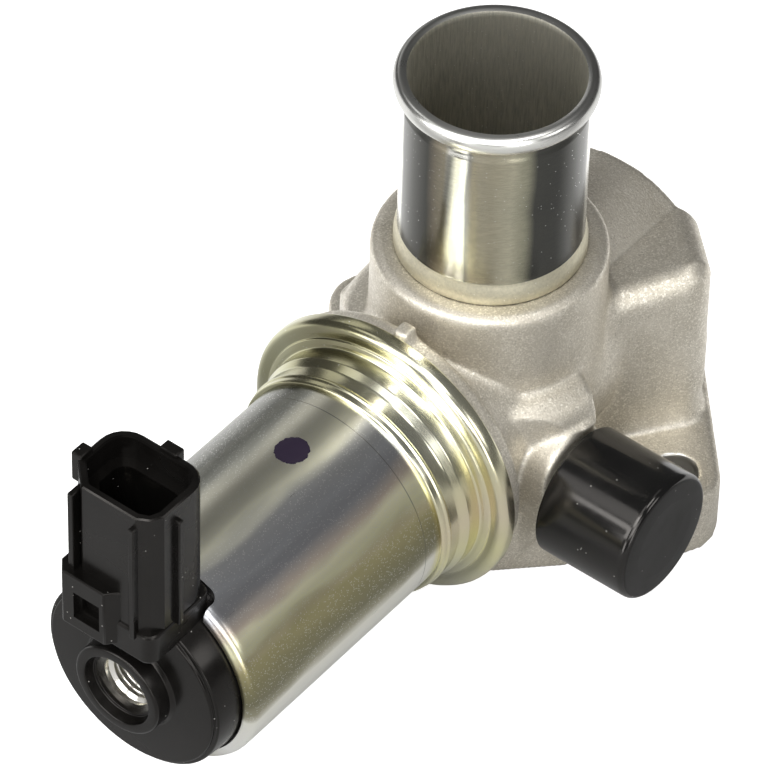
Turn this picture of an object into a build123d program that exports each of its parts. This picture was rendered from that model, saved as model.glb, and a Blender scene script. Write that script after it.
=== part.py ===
"""Idle air control valve: a cast body with a hose spigot, a capped side spout and a sprung solenoid.

Millimetres, +Z up. The origin is on the mounting face, midway between the two bolt holes.
The solenoid lies along -Y, the hose tube stands along +Z and the side spout points along +X.
"""
from build123d import *
import os

# Solenoid axis: its height over the mounting face is the main datum
axis_height = 22.0
axis_line = Axis((0, 0, axis_height), (0, 1, 0))
# Profile plane through the solenoid axis: local x runs along +Y, local y is the radius
profile_plane = Plane(origin=(0, 0, axis_height), x_dir=(0, 1, 0), z_dir=(1, 0, 0))

# Clearances
running_clearance = 0.05
loose_clearance = 0.1
seat_clearance = 0.05

# Mounting flange
bolt_offset_x = 26.2
bolt_hole_r = 3.3
ear_r = 6.5
flange_height = 10.0
flange_front_half_width = 6.6
flange_back_half_width = 15.6
flange_edge_r = 0.8

# Casting, front to back: the register is the round face that the solenoid seats on
register_y = -32.0
register_r = 20.5
register_depth = 4.4
body_front_y = -30.2
body_back_y = 21.3

# Tube boss
tube_axis_y = -9.2
boss_r = 16.25
boss_above_axis = 23.5
boss_rim_r = 1.3

# Chamber barrel around the solenoid axis
barrel_r = 16.0
bore_r = 11.5

# Front block under the tube boss, with a hollow skirt up to the boss
block_side_x = 21.4
block_right_back_y = -11.8
block_left_back_y = -8.0
block_inner_x = 9.0
block_inner_y = -6.0
shelf_height = 26.5
skirt_r = 4.5
block_corner_r = 2.2

# Rear block between the two bolt pockets
pocket_x = 11.0
pocket_y = -6.1
corner_x = 23.4
corner_y = 11.0
back_half_width = 13.2
roof_valley_x = 9.5
roof_valley_height = 34.9
roof_rise = 3.9
roof_edge_r = 2.6
rear_corner_r = 3.4

# Key on top of the register
key_width = 2.2
key_offset_x = 1.0
key_height = 1.6

# Side spout
spout_y = -15.8
spout_height = 16.0
spout_r = 6.5
spout_root_rise = 3.4
spout_root_x = 20.4
spout_tip_x = 32.4
spout_bore_r = 4.0
spout_tip_chamfer = 0.8
gusset_reach = 5.6
gusset_depth = 9.0
gusset_setback = 5.1
gusset_height = 2.9
gusset_drop = 4.5

# Rubber cap on the spout
cap_r = 9.5
cap_length = 14.9
cap_end_wall = 2.6
cap_edge_r = 1.0
cap_gap = 0.75
cap_relief = 0.5

# Valve seat and air passages
seat_y = -1.5
seat_depth = 3.0
seat_bore_r = 8.0
seat_lip_width = 1.2
seat_lip_height = 0.5
inlet_y = -13.0
inlet_passage_r = 7.0
chamber_back_r = 9.5
chamber_back_y = 16.5
outlet_r = 7.2
outlet_y = 9.0

# Hose tube
tube_r = 12.7
tube_wall = 0.85
tube_above_boss = 30.4
tube_depth = 11.5
bead_r = 13.8
bead_height = 2.5
foot_r = 13.2
foot_height = 3.0

# Solenoid collar
collar_sheet = 1.0
lip_wall = 1.1
lip_height = 2.6
lip_edge_r = 0.9
step_r = 19.2
step_rise = 0.3
shoulder_r = 17.9
shoulder_length = 2.6
shoulder_edge_r = 0.7
neck_r = 17.3
neck_length = 3.6
flare_length = 1.2
neck_bead = 0.25
neck_bead_width = 0.9

# Solenoid can
can_r = 16.6
can_wall = 1.2
can_length = 48.3
curl_r = 1.6
slot_half_width = 8.3
slot_depth = 3.3
slot_corner_r = 1.4

# End cap
cap_side_r = 14.7
cap_face_r = 14.2
cap_face_edge_r = 0.6
cap_out = 4.7
plug_length = 5.0
hub_r = 7.0
hub_out = 3.1
hub_edge_r = 0.4
hub_recess_r = 5.3
hub_recess_depth = 1.5
hub_floor = 1.0
hub_hole_r = 4.2

# Socket, moulded with the end cap
socket_offset_y = 1.25
socket_width = 15.2
socket_depth = 12.1
socket_corner_r = 4.0
socket_top = 59.4
socket_wall = 1.5
socket_floor = 43.0
socket_step = 0.9
socket_step_height = 55.6
socket_base_width = 15.6
socket_base_out = 0.4
socket_base_corner_r = 1.8
socket_base_top = 38.5
socket_sunk = 2.6
latch_left_x = -6.0
latch_right_x = 1.0
latch_out = 1.7
latch_chamfer = 1.4
latch_foot = 34.4
latch_top = 43.9
window_left_x = -4.1
window_right_x = 0.2
window_bottom = 36.4
window_top = 41.0
window_depth = 1.2
rib_size = 0.9
rib_out = 0.8
frame_right_x = 4.8
frame_left_x = -5.2
frame_top = 57.7
side_rib_y = -84.7
side_rib_top = 57.0
side_rib_foot = 39.4
lug_rise = 0.7
lug_height = 5.0
back_lug_x = 1.0
back_lug_width = 2.8
left_lug_y = -85.2
left_lug_width = 2.4
lug_out = 0.9

# Terminals
terminal_spacing = 6.0
terminal_width = 2.2
terminal_thickness = 0.8
terminal_top = 50.5
terminal_bend_z = 34.4

# Magnetic parts and coil inside the can
flux_washer_thickness = 1.2
bobbin_flange = 1.4
bobbin_tube_wall = 1.0
bobbin_outer_r = 14.9
winding_r = 14.2
tape_thickness = 0.25
guide_bore_r = 6.05
guide_wall = 0.5
plate_thickness = 3.5
core_bore_r = 3.0
thread_r = 4.0
thread_depth = 12.0
core_back_y = -60.5
air_gap = 3.3
plunger_length = 17.0
spring_pocket_depth = 3.0
rod_r = 2.0
rod_socket_depth = 8.0
bush_r = 4.5
bush_length = 5.0
guide_seat_depth = 1.0
vent_offset = 4.5
vent_r = 0.7
screw_setback = 3.5
screw_length = 8.0
screw_socket_r = 1.9
screw_socket_depth = 3.0

# Valve group on the rod
disc_r = 9.6
disc_thickness = 2.6
disc_hub_r = 4.0
disc_hub_length = 2.5
disc_washer_r = 5.5
disc_washer_thickness = 0.8
clip_r = 3.6
clip_thickness = 0.6
clip_depth = 0.5
rod_shoulder_r = 3.0
rod_shoulder_length = 1.2
rear_bush_length = 6.0
rear_bush_r = 4.0
rear_bush_proud = 3.0
rod_end_gap = 1.5

# Return spring
spring_wire_r = 0.35
spring_r = 2.3
spring_turns = 9

# Seals
body_seal_r = 13.9
body_seal_cord_r = 1.0
body_groove_depth = 1.7
cap_seal_cord_r = 0.8
cap_groove_clearance = 0.3
cap_groove_setback = 1.7

# Places worked out from the values above
boss_top = axis_height + boss_above_axis
tube_axis = Axis((0, tube_axis_y, 0), (0, 0, 1))
tube_bottom = boss_top - tube_depth
tube_top = boss_top + tube_above_boss
tube_bore_r = tube_r - tube_wall
register_back_y = register_y + register_depth
collar_face_y = register_y - collar_sheet
shoulder_back_y = collar_face_y - step_rise
shoulder_front_y = shoulder_back_y - shoulder_length
neck_back_y = shoulder_front_y - flare_length
neck_front_y = neck_back_y - neck_length
can_back_y = register_y
can_front_y = can_back_y - can_length
can_bore_r = can_r - can_wall
curl_bore_r = can_r - curl_r
cap_face_y = can_front_y - cap_out
hub_face_y = cap_face_y - hub_out
recess_floor_y = hub_face_y + hub_recess_depth
core_front_y = recess_floor_y + hub_floor
plug_r = can_bore_r - loose_clearance
plug_front_y = can_front_y + can_wall + loose_clearance
plug_back_y = plug_front_y + plug_length
socket_y = cap_face_y + socket_offset_y
socket_front_y = socket_y - socket_depth / 2
socket_back_y = socket_y + socket_depth / 2
socket_foot = axis_height + cap_face_r - socket_sunk
bobbin_front_y = plug_back_y + flux_washer_thickness
plate_back_y = register_y
plate_front_y = plate_back_y - plate_thickness
bobbin_back_y = plate_front_y
winding_front_y = bobbin_front_y + bobbin_flange
winding_back_y = bobbin_back_y - bobbin_flange
guide_r = guide_bore_r + guide_wall
bobbin_bore_r = guide_r + loose_clearance
bobbin_tube_r = bobbin_bore_r + bobbin_tube_wall
core_r = guide_bore_r
plunger_r = guide_bore_r - running_clearance
plunger_front_y = core_back_y + air_gap
plunger_back_y = plunger_front_y + plunger_length
screw_front_y = core_front_y + screw_setback
screw_back_y = screw_front_y + screw_length
spring_back_y = plunger_front_y + spring_pocket_depth
bush_bore_r = rod_r + running_clearance
front_bush_front_y = plate_front_y + guide_seat_depth
disc_back_y = seat_y - seat_lip_height - seat_clearance
disc_front_y = disc_back_y - disc_thickness
disc_hub_front_y = disc_front_y - disc_hub_length
disc_washer_front_y = disc_hub_front_y - disc_washer_thickness
rear_bush_front_y = chamber_back_y - rear_bush_proud
rear_bush_back_y = rear_bush_front_y + rear_bush_length
rod_front_y = plunger_back_y - rod_socket_depth
rod_back_y = rear_bush_back_y - rod_end_gap
outer_reach = 60.0

os.makedirs("parts", exist_ok=True)


def keep(piece, name):
    """Label a finished piece and write its STEP file."""
    piece.part.label = name
    export_step(piece.part, f"parts/{name}.step")


def across(y):
    """Return a plane square to the solenoid axis: local x is -X, local y is +Z, normal +Y."""
    return Plane(origin=(0, y, axis_height), x_dir=(-1, 0, 0), z_dir=(0, 1, 0))


def ring(y_start, y_end, r_outer, r_inner=0.0):
    """Turn a plain ring or disc about the solenoid axis."""
    with BuildPart() as turned:
        with BuildSketch(across(y_start)):
            Circle(r_outer)
            if r_inner > 0:
                Circle(r_inner, mode=Mode.SUBTRACT)
        extrude(amount=y_end - y_start)
    return turned


def flange_outline():
    """Two ears round the bolt holes, joined by straight sides that are tangent to them."""
    with BuildSketch() as outline:
        with Locations((-bolt_offset_x, 0), (bolt_offset_x, 0)):
            Circle(ear_r)
        with BuildLine():
            Polyline(
                (-flange_front_half_width, body_front_y),
                (flange_front_half_width, body_front_y),
                (flange_back_half_width, body_back_y),
                (-flange_back_half_width, body_back_y),
                close=True,
            )
        make_face()
        make_hull()
    return outline.sketch


def front_block_outline():
    """The flange's outline between the two bolt pockets, in front of the tube boss."""
    with BuildSketch() as outline:
        add(flange_outline())
        with BuildLine():
            Polyline(
                (-block_side_x, -outer_reach),
                (block_side_x, -outer_reach),
                (block_side_x, block_right_back_y),
                (block_inner_x, block_inner_y),
                (-block_inner_x, block_inner_y),
                (-block_side_x, block_left_back_y),
                close=True,
            )
        make_face(mode=Mode.INTERSECT)
    return outline.sketch


def rear_block_outline():
    """The right half of the block behind the bolt pockets."""
    with BuildSketch() as outline:
        with BuildLine():
            Polyline(
                (0, pocket_y),
                (pocket_x, pocket_y),
                (corner_x, corner_y),
                (back_half_width, body_back_y),
                (0, body_back_y),
                close=True,
            )
        make_face()
    return outline.sketch


def roof_cut():
    """What lies over the rear block's roof, which falls from its corner towards the barrel."""
    slope = roof_rise / (corner_x - roof_valley_x)
    edge_height = roof_valley_height + slope * (outer_reach - roof_valley_x)
    middle_height = roof_valley_height - slope * roof_valley_x
    with BuildSketch(Plane.XZ) as outline:
        with BuildLine():
            Polyline(
                (0, middle_height),
                (outer_reach, edge_height),
                (outer_reach, 2 * edge_height),
                (0, 2 * edge_height),
                close=True,
            )
        make_face()
    return outline.sketch


def skirt_cut():
    """What lies over the front block's shelf, outside the hollow skirt round the tube boss."""
    skirt_top = shelf_height + skirt_r
    with BuildSketch(Plane(origin=(0, tube_axis_y, 0), x_dir=(1, 0, 0), z_dir=(0, -1, 0))) as outline:
        with BuildLine():
            RadiusArc((boss_r, skirt_top), (boss_r + skirt_r, shelf_height), skirt_r)
            Polyline(
                (boss_r + skirt_r, shelf_height),
                (outer_reach, shelf_height),
                (outer_reach, skirt_top + 1),
                (boss_r, skirt_top + 1),
                (boss_r, skirt_top),
            )
        make_face()
    return outline.sketch


def build_front_block():
    """The front block with its rounded corners, under the tube boss."""
    with BuildPart() as block:
        extrude(front_block_outline(), amount=shelf_height + skirt_r)
        revolve(skirt_cut(), axis=tube_axis, mode=Mode.SUBTRACT)
        front_edges = block.edges().filter_by(Axis.Z).sort_by(Axis.X)
        outer_edges = front_edges.filter_by(lambda e: abs(e.center().X) > (block_side_x + boss_r) / 2)
        fillet(outer_edges, radius=block_corner_r)
    return block


def build_rear_block():
    """The block behind the bolt pockets, rounded along its roof and at its corners."""
    with BuildPart() as block:
        extrude(rear_block_outline(), amount=roof_valley_height + roof_rise + roof_edge_r)
        corner_edge = block.edges().filter_by(Axis.Z).sort_by(Axis.X)[-1]
        fillet(corner_edge, radius=rear_corner_r)
        extrude(roof_cut(), amount=outer_reach, both=True, mode=Mode.SUBTRACT)
        roof = block.faces().sort_by(Axis.Z)[-1]
        rim = roof.edges().filter_by(lambda e: e.center().X > pocket_x)
        fillet(rim, radius=roof_edge_r)
        mirror(about=Plane.YZ)
    return block


def build_spout():
    """The side spout with the flat-topped root that joins it to the casting."""
    spout_plane = Plane(origin=(0, spout_y, spout_height), x_dir=(0, 1, 0), z_dir=(1, 0, 0))
    with BuildPart() as spout:
        with BuildSketch(spout_plane):
            Circle(spout_r)
        extrude(amount=spout_tip_x)
        chamfer(spout.edges().group_by(Axis.X)[-1], length=spout_tip_chamfer)
        with BuildSketch(spout_plane):
            Circle(spout_r)
            with Locations((0, spout_root_rise)):
                Circle(spout_r)
            make_hull()
        extrude(amount=spout_root_x)
        gusset_front_y = spout_y - gusset_setback
        with BuildSketch(Plane(origin=(0, gusset_front_y, 0), x_dir=(1, 0, 0), z_dir=(0, -1, 0))):
            with BuildLine():
                Polyline(
                    (0, spout_height - gusset_drop + gusset_height),
                    (spout_root_x, spout_height - gusset_drop + gusset_height),
                    (spout_root_x, spout_height - gusset_drop),
                    (spout_root_x - gusset_reach, spout_height - gusset_drop - gusset_depth),
                    (0, spout_height - gusset_drop - gusset_depth),
                    close=True,
                )
            make_face()
        extrude(amount=-gusset_setback)
    return spout


def build_body_cuts():
    """Everything machined out of the casting: air passages, bush hole, bolt holes and O-ring groove."""
    with BuildPart() as cuts:
        with BuildSketch(across(register_y)):
            Circle(bore_r)
        extrude(amount=seat_y + seat_depth - register_y)
        with BuildSketch(across(seat_y)):
            Circle(chamber_back_r)
        extrude(amount=chamber_back_y - seat_y)
        with BuildSketch(across(rear_bush_front_y)):
            Circle(rear_bush_r)
        extrude(amount=rear_bush_length)
        with BuildSketch():
            with Locations((0, outlet_y)):
                Circle(outlet_r)
        extrude(amount=axis_height)
        with BuildSketch(Plane(origin=(0, tube_axis_y, boss_top))):
            Circle(tube_r)
        extrude(amount=-tube_depth)
        with BuildSketch(Plane(origin=(0, inlet_y, boss_top))):
            Circle(inlet_passage_r)
        extrude(amount=axis_height - boss_top)
        with BuildSketch(Plane(origin=(0, spout_y, spout_height), x_dir=(0, 1, 0), z_dir=(1, 0, 0))):
            Circle(spout_bore_r)
        extrude(amount=spout_tip_x)
        with BuildSketch():
            with Locations((-bolt_offset_x, 0), (bolt_offset_x, 0)):
                Circle(bolt_hole_r)
        extrude(amount=flange_height)
        with BuildSketch(across(register_y)):
            Circle(body_seal_r + body_seal_cord_r)
            Circle(body_seal_r - body_seal_cord_r, mode=Mode.SUBTRACT)
        extrude(amount=body_groove_depth)
        relief_origin = (spout_root_x, spout_y, spout_height)
        with BuildSketch(Plane(origin=relief_origin, x_dir=(0, 1, 0), z_dir=(1, 0, 0))):
            Circle(cap_r + cap_relief)
            Circle(spout_r, mode=Mode.SUBTRACT)
        extrude(amount=cap_length)
    return cuts


def build_valve_body():
    """The casting: blocks, barrel, boss, register, flange and spout, then the machined cuts."""
    front_block = build_front_block()
    rear_block = build_rear_block()
    spout = build_spout()
    cuts = build_body_cuts()
    with BuildPart() as body:
        with BuildSketch():
            add(flange_outline())
        extrude(amount=flange_height)
        fillet(body.edges().group_by(Axis.Z)[-1], radius=flange_edge_r)
        add(front_block.part)
        add(rear_block.part)
        add(spout.part)
        with BuildSketch(across(register_y)):
            Circle(barrel_r)
        extrude(amount=body_back_y - register_y)
        with BuildSketch(Plane(origin=(0, tube_axis_y, axis_height))):
            Circle(boss_r)
        extrude(amount=boss_above_axis)
        fillet(body.edges().filter_by(GeomType.CIRCLE).sort_by(Axis.Z)[-1], radius=boss_rim_r)
        with BuildSketch(across(register_y)):
            Circle(register_r)
        extrude(amount=register_depth)
        key_origin = (key_offset_x, register_back_y, axis_height)
        with BuildSketch(Plane(origin=key_origin, x_dir=(1, 0, 0), z_dir=(0, -1, 0))):
            with Locations((0, register_r)):
                Rectangle(key_width, 2 * key_height)
        extrude(amount=register_back_y - collar_face_y - lip_height)
        add(cuts.part, mode=Mode.SUBTRACT)
    return body


def build_inlet_tube():
    """The hose tube with its rolled bead and the wider foot where it leaves the boss."""
    foot_top = boss_top + foot_height
    bead_bottom = tube_top - bead_height
    with BuildPart() as tube:
        with BuildSketch(Plane(origin=(0, tube_axis_y, 0), x_dir=(1, 0, 0), z_dir=(0, -1, 0))):
            with BuildLine():
                Polyline(
                    (tube_bore_r, tube_bottom),
                    (tube_r, tube_bottom),
                    (tube_r, boss_top),
                    (foot_r, boss_top),
                    (foot_r, foot_top - (foot_r - tube_r)),
                    (tube_r, foot_top),
                    (tube_r, bead_bottom),
                )
                ThreePointArc(
                    (tube_r, bead_bottom),
                    (bead_r, tube_top - bead_height / 2),
                    (tube_r, tube_top),
                )
                Polyline(
                    (tube_r, tube_top),
                    (tube_bore_r, tube_top),
                    (tube_bore_r, tube_bottom),
                )
            make_face()
        revolve(axis=tube_axis)
    return tube


def build_port_cap():
    """The moulded rubber cap on the side spout."""
    cap_back_x = spout_root_x + cap_gap
    plane = Plane(origin=(cap_back_x, spout_y, spout_height), x_dir=(0, 1, 0), z_dir=(1, 0, 0))
    with BuildPart() as cap:
        with BuildSketch(plane):
            Circle(cap_r)
        extrude(amount=cap_length)
        fillet(cap.edges().group_by(Axis.X)[-1], radius=cap_edge_r)
        with BuildSketch(plane):
            Circle(spout_r)
        extrude(amount=cap_length - cap_end_wall, mode=Mode.SUBTRACT)
    return cap


def build_solenoid_collar():
    """The pressed collar: lip over the register, step, shoulder, flare and neck."""
    lip_r = register_r + lip_wall
    lip_back_y = collar_face_y + lip_height
    bead_middle_y = neck_front_y + 1.5 * neck_bead_width
    with BuildPart() as collar:
        with BuildSketch(profile_plane) as profile:
            with BuildLine():
                Polyline(
                    (neck_front_y, can_r),
                    (neck_front_y, neck_r),
                    (bead_middle_y - neck_bead_width / 2, neck_r),
                    (bead_middle_y, neck_r + neck_bead),
                    (bead_middle_y + neck_bead_width / 2, neck_r),
                    (neck_back_y, neck_r),
                    (shoulder_front_y, shoulder_r),
                    (shoulder_back_y, shoulder_r),
                    (shoulder_back_y, step_r),
                    (collar_face_y, step_r),
                    (collar_face_y, lip_r),
                    (lip_back_y, lip_r),
                    (lip_back_y, register_r),
                    (register_y, register_r),
                    (register_y, can_r),
                    close=True,
                )
            make_face()
            corners = profile.vertices()
            fillet(corners.sort_by_distance((0, collar_face_y, axis_height + lip_r))[0], radius=lip_edge_r)
            corners = profile.vertices()
            shoulder_corner = corners.sort_by_distance((0, shoulder_front_y, axis_height + shoulder_r))[0]
            fillet(shoulder_corner, radius=shoulder_edge_r)
        revolve(axis=axis_line)
    return collar


def build_solenoid_can():
    """The drawn can: open to the casting, curled in at the front and slotted for the socket."""
    with BuildPart() as can:
        with BuildSketch(across(can_front_y)):
            Circle(can_r)
        extrude(amount=can_length)
        fillet(can.edges().group_by(Axis.Y)[0], radius=curl_r)
        with BuildSketch(across(can_front_y)):
            Circle(curl_bore_r)
        extrude(amount=can_length, mode=Mode.SUBTRACT)
        with BuildSketch(across(can_front_y + can_wall)):
            Circle(can_bore_r)
        extrude(amount=can_length - can_wall, mode=Mode.SUBTRACT)
        with BuildSketch(Plane(origin=(0, can_front_y, axis_height))) as slot:
            Rectangle(2 * slot_half_width, 2 * slot_depth)
            fillet(slot.vertices().group_by(Axis.Y)[-1], radius=slot_corner_r)
        extrude(amount=outer_reach, mode=Mode.SUBTRACT)
    return can


def build_terminal(side):
    """One contact blade: upright in the socket, then bent in to the coil."""
    blade_x = side * terminal_spacing / 2
    tail_end_y = bobbin_front_y + bobbin_flange / 2
    with BuildPart() as terminal:
        with BuildSketch(Plane(origin=(blade_x, 0, 0), x_dir=(0, 1, 0), z_dir=(1, 0, 0))):
            with BuildLine():
                Polyline(
                    (socket_y - terminal_thickness / 2, terminal_bend_z - terminal_thickness),
                    (socket_y - terminal_thickness / 2, terminal_top),
                    (socket_y + terminal_thickness / 2, terminal_top),
                    (socket_y + terminal_thickness / 2, terminal_bend_z),
                    (tail_end_y, terminal_bend_z),
                    (tail_end_y, terminal_bend_z - terminal_thickness),
                    close=True,
                )
            make_face()
        extrude(amount=terminal_width / 2, both=True)
        chamfer(terminal.edges().filter_by(Axis.X).group_by(Axis.Z)[-1], length=terminal_thickness / 3)
    return terminal


def build_socket():
    """The two-pin socket: base, shell, latch block, ribs and lugs, before the cavity is cut."""
    base_depth = socket_depth + socket_base_out
    with BuildPart() as socket:
        with BuildSketch(Plane(origin=(0, socket_back_y - base_depth / 2, socket_foot))):
            RectangleRounded(socket_base_width, base_depth, socket_base_corner_r)
        extrude(amount=socket_base_top - socket_foot)
        with BuildSketch(Plane(origin=(0, socket_y, socket_base_top))):
            RectangleRounded(socket_width, socket_depth, socket_corner_r)
        extrude(amount=socket_top - socket_base_top)
        with BuildSketch(Plane(origin=(0, socket_front_y, latch_foot))):
            with BuildLine():
                Polyline(
                    (latch_left_x - latch_chamfer, latch_out),
                    (latch_left_x - latch_chamfer, 0),
                    (latch_left_x, -latch_out),
                    (latch_right_x, -latch_out),
                    (latch_right_x + latch_chamfer, 0),
                    (latch_right_x + latch_chamfer, latch_out),
                    close=True,
                )
            make_face()
        extrude(amount=latch_top - latch_foot)
        with BuildSketch(Plane(origin=(0, socket_front_y, latch_top))):
            with Locations((frame_left_x, 0), (frame_right_x, 0)):
                Rectangle(rib_size, 2 * rib_out)
        extrude(amount=frame_top - latch_top)
        with BuildSketch(Plane(origin=(socket_width / 2, side_rib_y, side_rib_foot))):
            Rectangle(2 * rib_out, rib_size)
        extrude(amount=side_rib_top - side_rib_foot)
        with BuildSketch(Plane(origin=(0, 0, socket_top + lug_rise))):
            with Locations((back_lug_x, socket_back_y)):
                Rectangle(back_lug_width, 2 * lug_out)
            with Locations((-socket_width / 2, left_lug_y)):
                Rectangle(2 * lug_out, left_lug_width)
        extrude(amount=-lug_height)
        window_width = window_right_x - window_left_x
        window_middle_x = (window_left_x + window_right_x) / 2
        with BuildSketch(Plane(origin=(window_middle_x, socket_front_y - latch_out, window_bottom))):
            Rectangle(window_width, 2 * window_depth)
        extrude(amount=window_top - window_bottom, mode=Mode.SUBTRACT)
    return socket


def build_socket_cavity():
    """The socket's hollow: wide above its inner step, narrower down to the floor."""
    inner_width = socket_width - 2 * socket_wall
    inner_depth = socket_depth - 2 * socket_wall
    inner_corner_r = socket_corner_r - socket_wall
    with BuildPart() as cavity:
        with BuildSketch(Plane(origin=(0, socket_y, socket_floor))):
            RectangleRounded(
                inner_width - 2 * socket_step,
                inner_depth - 2 * socket_step,
                inner_corner_r - socket_step,
            )
        extrude(amount=socket_top + lug_rise - socket_floor)
        with BuildSketch(Plane(origin=(0, socket_y, socket_step_height))):
            RectangleRounded(inner_width, inner_depth, inner_corner_r)
        extrude(amount=socket_top + lug_rise - socket_step_height)
    return cavity


def build_end_cap(terminals):
    """The moulding that closes the can: plug, face and hub, with the socket over it."""
    groove_y = plug_back_y - cap_groove_setback
    groove_width = 2 * cap_seal_cord_r + cap_groove_clearance
    socket = build_socket()
    cavity = build_socket_cavity()
    with BuildPart() as end:
        with BuildSketch(profile_plane):
            with BuildLine():
                Polyline(
                    (plug_back_y, 0),
                    (plug_back_y, plug_r),
                    (plug_front_y, plug_r),
                    (plug_front_y, cap_side_r),
                    (can_front_y, cap_side_r),
                    (cap_face_y, cap_face_r),
                    (cap_face_y, hub_r),
                    (hub_face_y, hub_r),
                    (hub_face_y, hub_recess_r),
                    (recess_floor_y, hub_recess_r),
                    (recess_floor_y, 0),
                    close=True,
                )
            make_face()
        revolve(axis=axis_line)
        rims = end.edges().filter_by(GeomType.CIRCLE)
        fillet(rims.filter_by(lambda e: abs(e.radius - cap_face_r) < 0.01), radius=cap_face_edge_r)
        rims = end.edges().filter_by(GeomType.CIRCLE)
        hub_rims = rims.filter_by(lambda e: abs(e.center().Y - hub_face_y) < 0.01)
        fillet(hub_rims, radius=hub_edge_r)
        add(socket.part)
        add(cavity.part, mode=Mode.SUBTRACT)
        with BuildSketch(across(core_front_y)):
            Circle(core_r)
        extrude(amount=plug_back_y - core_front_y, mode=Mode.SUBTRACT)
        with BuildSketch(across(recess_floor_y)):
            Circle(hub_hole_r)
        extrude(amount=hub_floor, mode=Mode.SUBTRACT)
        with BuildSketch(across(groove_y - groove_width / 2)):
            Circle(plug_r)
            Circle(can_bore_r - 2 * cap_seal_cord_r, mode=Mode.SUBTRACT)
        extrude(amount=groove_width, mode=Mode.SUBTRACT)
        for terminal in terminals:
            add(terminal.part, mode=Mode.SUBTRACT)
    return end


def build_fixed_core():
    """The fixed iron core: through bore for the spring, threaded at its front for the screw."""
    with BuildPart() as core:
        with BuildSketch(across(core_front_y)):
            Circle(core_r)
        extrude(amount=core_back_y - core_front_y)
        with BuildSketch(across(core_front_y)):
            Circle(core_bore_r)
        extrude(amount=core_back_y - core_front_y, mode=Mode.SUBTRACT)
        with BuildSketch(across(core_front_y)):
            Circle(thread_r)
        extrude(amount=thread_depth, mode=Mode.SUBTRACT)
    return core


def build_adjusting_screw():
    """The headless screw in the core's thread that the spring bears on."""
    with BuildPart() as screw:
        with BuildSketch(across(screw_front_y)):
            Circle(thread_r)
        extrude(amount=screw_length)
        with BuildSketch(across(screw_front_y)):
            RegularPolygon(screw_socket_r, 6)
        extrude(amount=screw_socket_depth, mode=Mode.SUBTRACT)
    return screw


def build_front_flux_washer():
    """The steel washer between the end cap and the bobbin, notched for the contact blades."""
    notch_width = terminal_spacing + terminal_width + 4 * loose_clearance
    notch_foot = terminal_bend_z - terminal_thickness - 4 * loose_clearance - axis_height
    with BuildPart() as washer:
        with BuildSketch(across(plug_back_y)):
            Circle(can_bore_r)
            Circle(core_r, mode=Mode.SUBTRACT)
            with Locations((0, notch_foot + can_bore_r / 2)):
                Rectangle(notch_width, can_bore_r, mode=Mode.SUBTRACT)
        extrude(amount=flux_washer_thickness)
    return washer


def build_coil_bobbin(terminals):
    """The bobbin: a tube with two flanges, slotted in front for the ends of the blades."""
    with BuildPart() as bobbin:
        with BuildSketch(across(bobbin_front_y)):
            Circle(bobbin_outer_r)
        extrude(amount=bobbin_flange)
        with BuildSketch(across(bobbin_back_y)):
            Circle(bobbin_outer_r)
        extrude(amount=-bobbin_flange)
        with BuildSketch(across(bobbin_front_y)):
            Circle(bobbin_tube_r)
        extrude(amount=bobbin_back_y - bobbin_front_y)
        with BuildSketch(across(bobbin_front_y)):
            Circle(bobbin_bore_r)
        extrude(amount=bobbin_back_y - bobbin_front_y, mode=Mode.SUBTRACT)
        for terminal in terminals:
            add(terminal.part, mode=Mode.SUBTRACT)
    return bobbin


def build_pole_plate():
    """The steel plate at the can's open end, bored for the bush and stepped for the guide tube."""
    with BuildPart() as plate:
        with BuildSketch(across(plate_front_y)):
            Circle(can_bore_r)
            Circle(bush_r, mode=Mode.SUBTRACT)
        extrude(amount=plate_thickness)
        with BuildSketch(across(plate_front_y)):
            Circle(guide_r)
        extrude(amount=guide_seat_depth, mode=Mode.SUBTRACT)
    return plate


def build_plunger():
    """The moving iron: spring pocket in front, rod socket behind and two holes to let air past."""
    with BuildPart() as plunger:
        with BuildSketch(across(plunger_front_y)):
            Circle(plunger_r)
            with Locations((-vent_offset, 0), (vent_offset, 0)):
                Circle(vent_r, mode=Mode.SUBTRACT)
        extrude(amount=plunger_length)
        with BuildSketch(across(plunger_front_y)):
            Circle(core_bore_r)
        extrude(amount=spring_pocket_depth, mode=Mode.SUBTRACT)
        with BuildSketch(across(rod_front_y)):
            Circle(rod_r)
        extrude(amount=rod_socket_depth, mode=Mode.SUBTRACT)
    return plunger


def build_valve_rod():
    """The rod, with a shoulder behind the disc and a groove for the clip in front of it."""
    clip_front_y = disc_washer_front_y - clip_thickness
    with BuildPart() as rod:
        with BuildSketch(across(rod_front_y)):
            Circle(rod_r)
        extrude(amount=rod_back_y - rod_front_y)
        with BuildSketch(across(disc_back_y)):
            Circle(rod_shoulder_r)
        extrude(amount=rod_shoulder_length)
        with BuildSketch(across(clip_front_y)):
            Circle(rod_r)
            Circle(rod_r - clip_depth, mode=Mode.SUBTRACT)
        extrude(amount=clip_thickness, mode=Mode.SUBTRACT)
    return rod


def build_valve_disc():
    """The disc that meets the seat, with its hub on the rod."""
    with BuildPart() as disc:
        with BuildSketch(across(disc_front_y)):
            Circle(disc_r)
        extrude(amount=disc_thickness)
        with BuildSketch(across(disc_hub_front_y)):
            Circle(disc_hub_r)
        extrude(amount=disc_hub_length)
        with BuildSketch(across(disc_hub_front_y)):
            Circle(rod_r)
        extrude(amount=disc_back_y - disc_hub_front_y, mode=Mode.SUBTRACT)
    return disc


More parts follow.
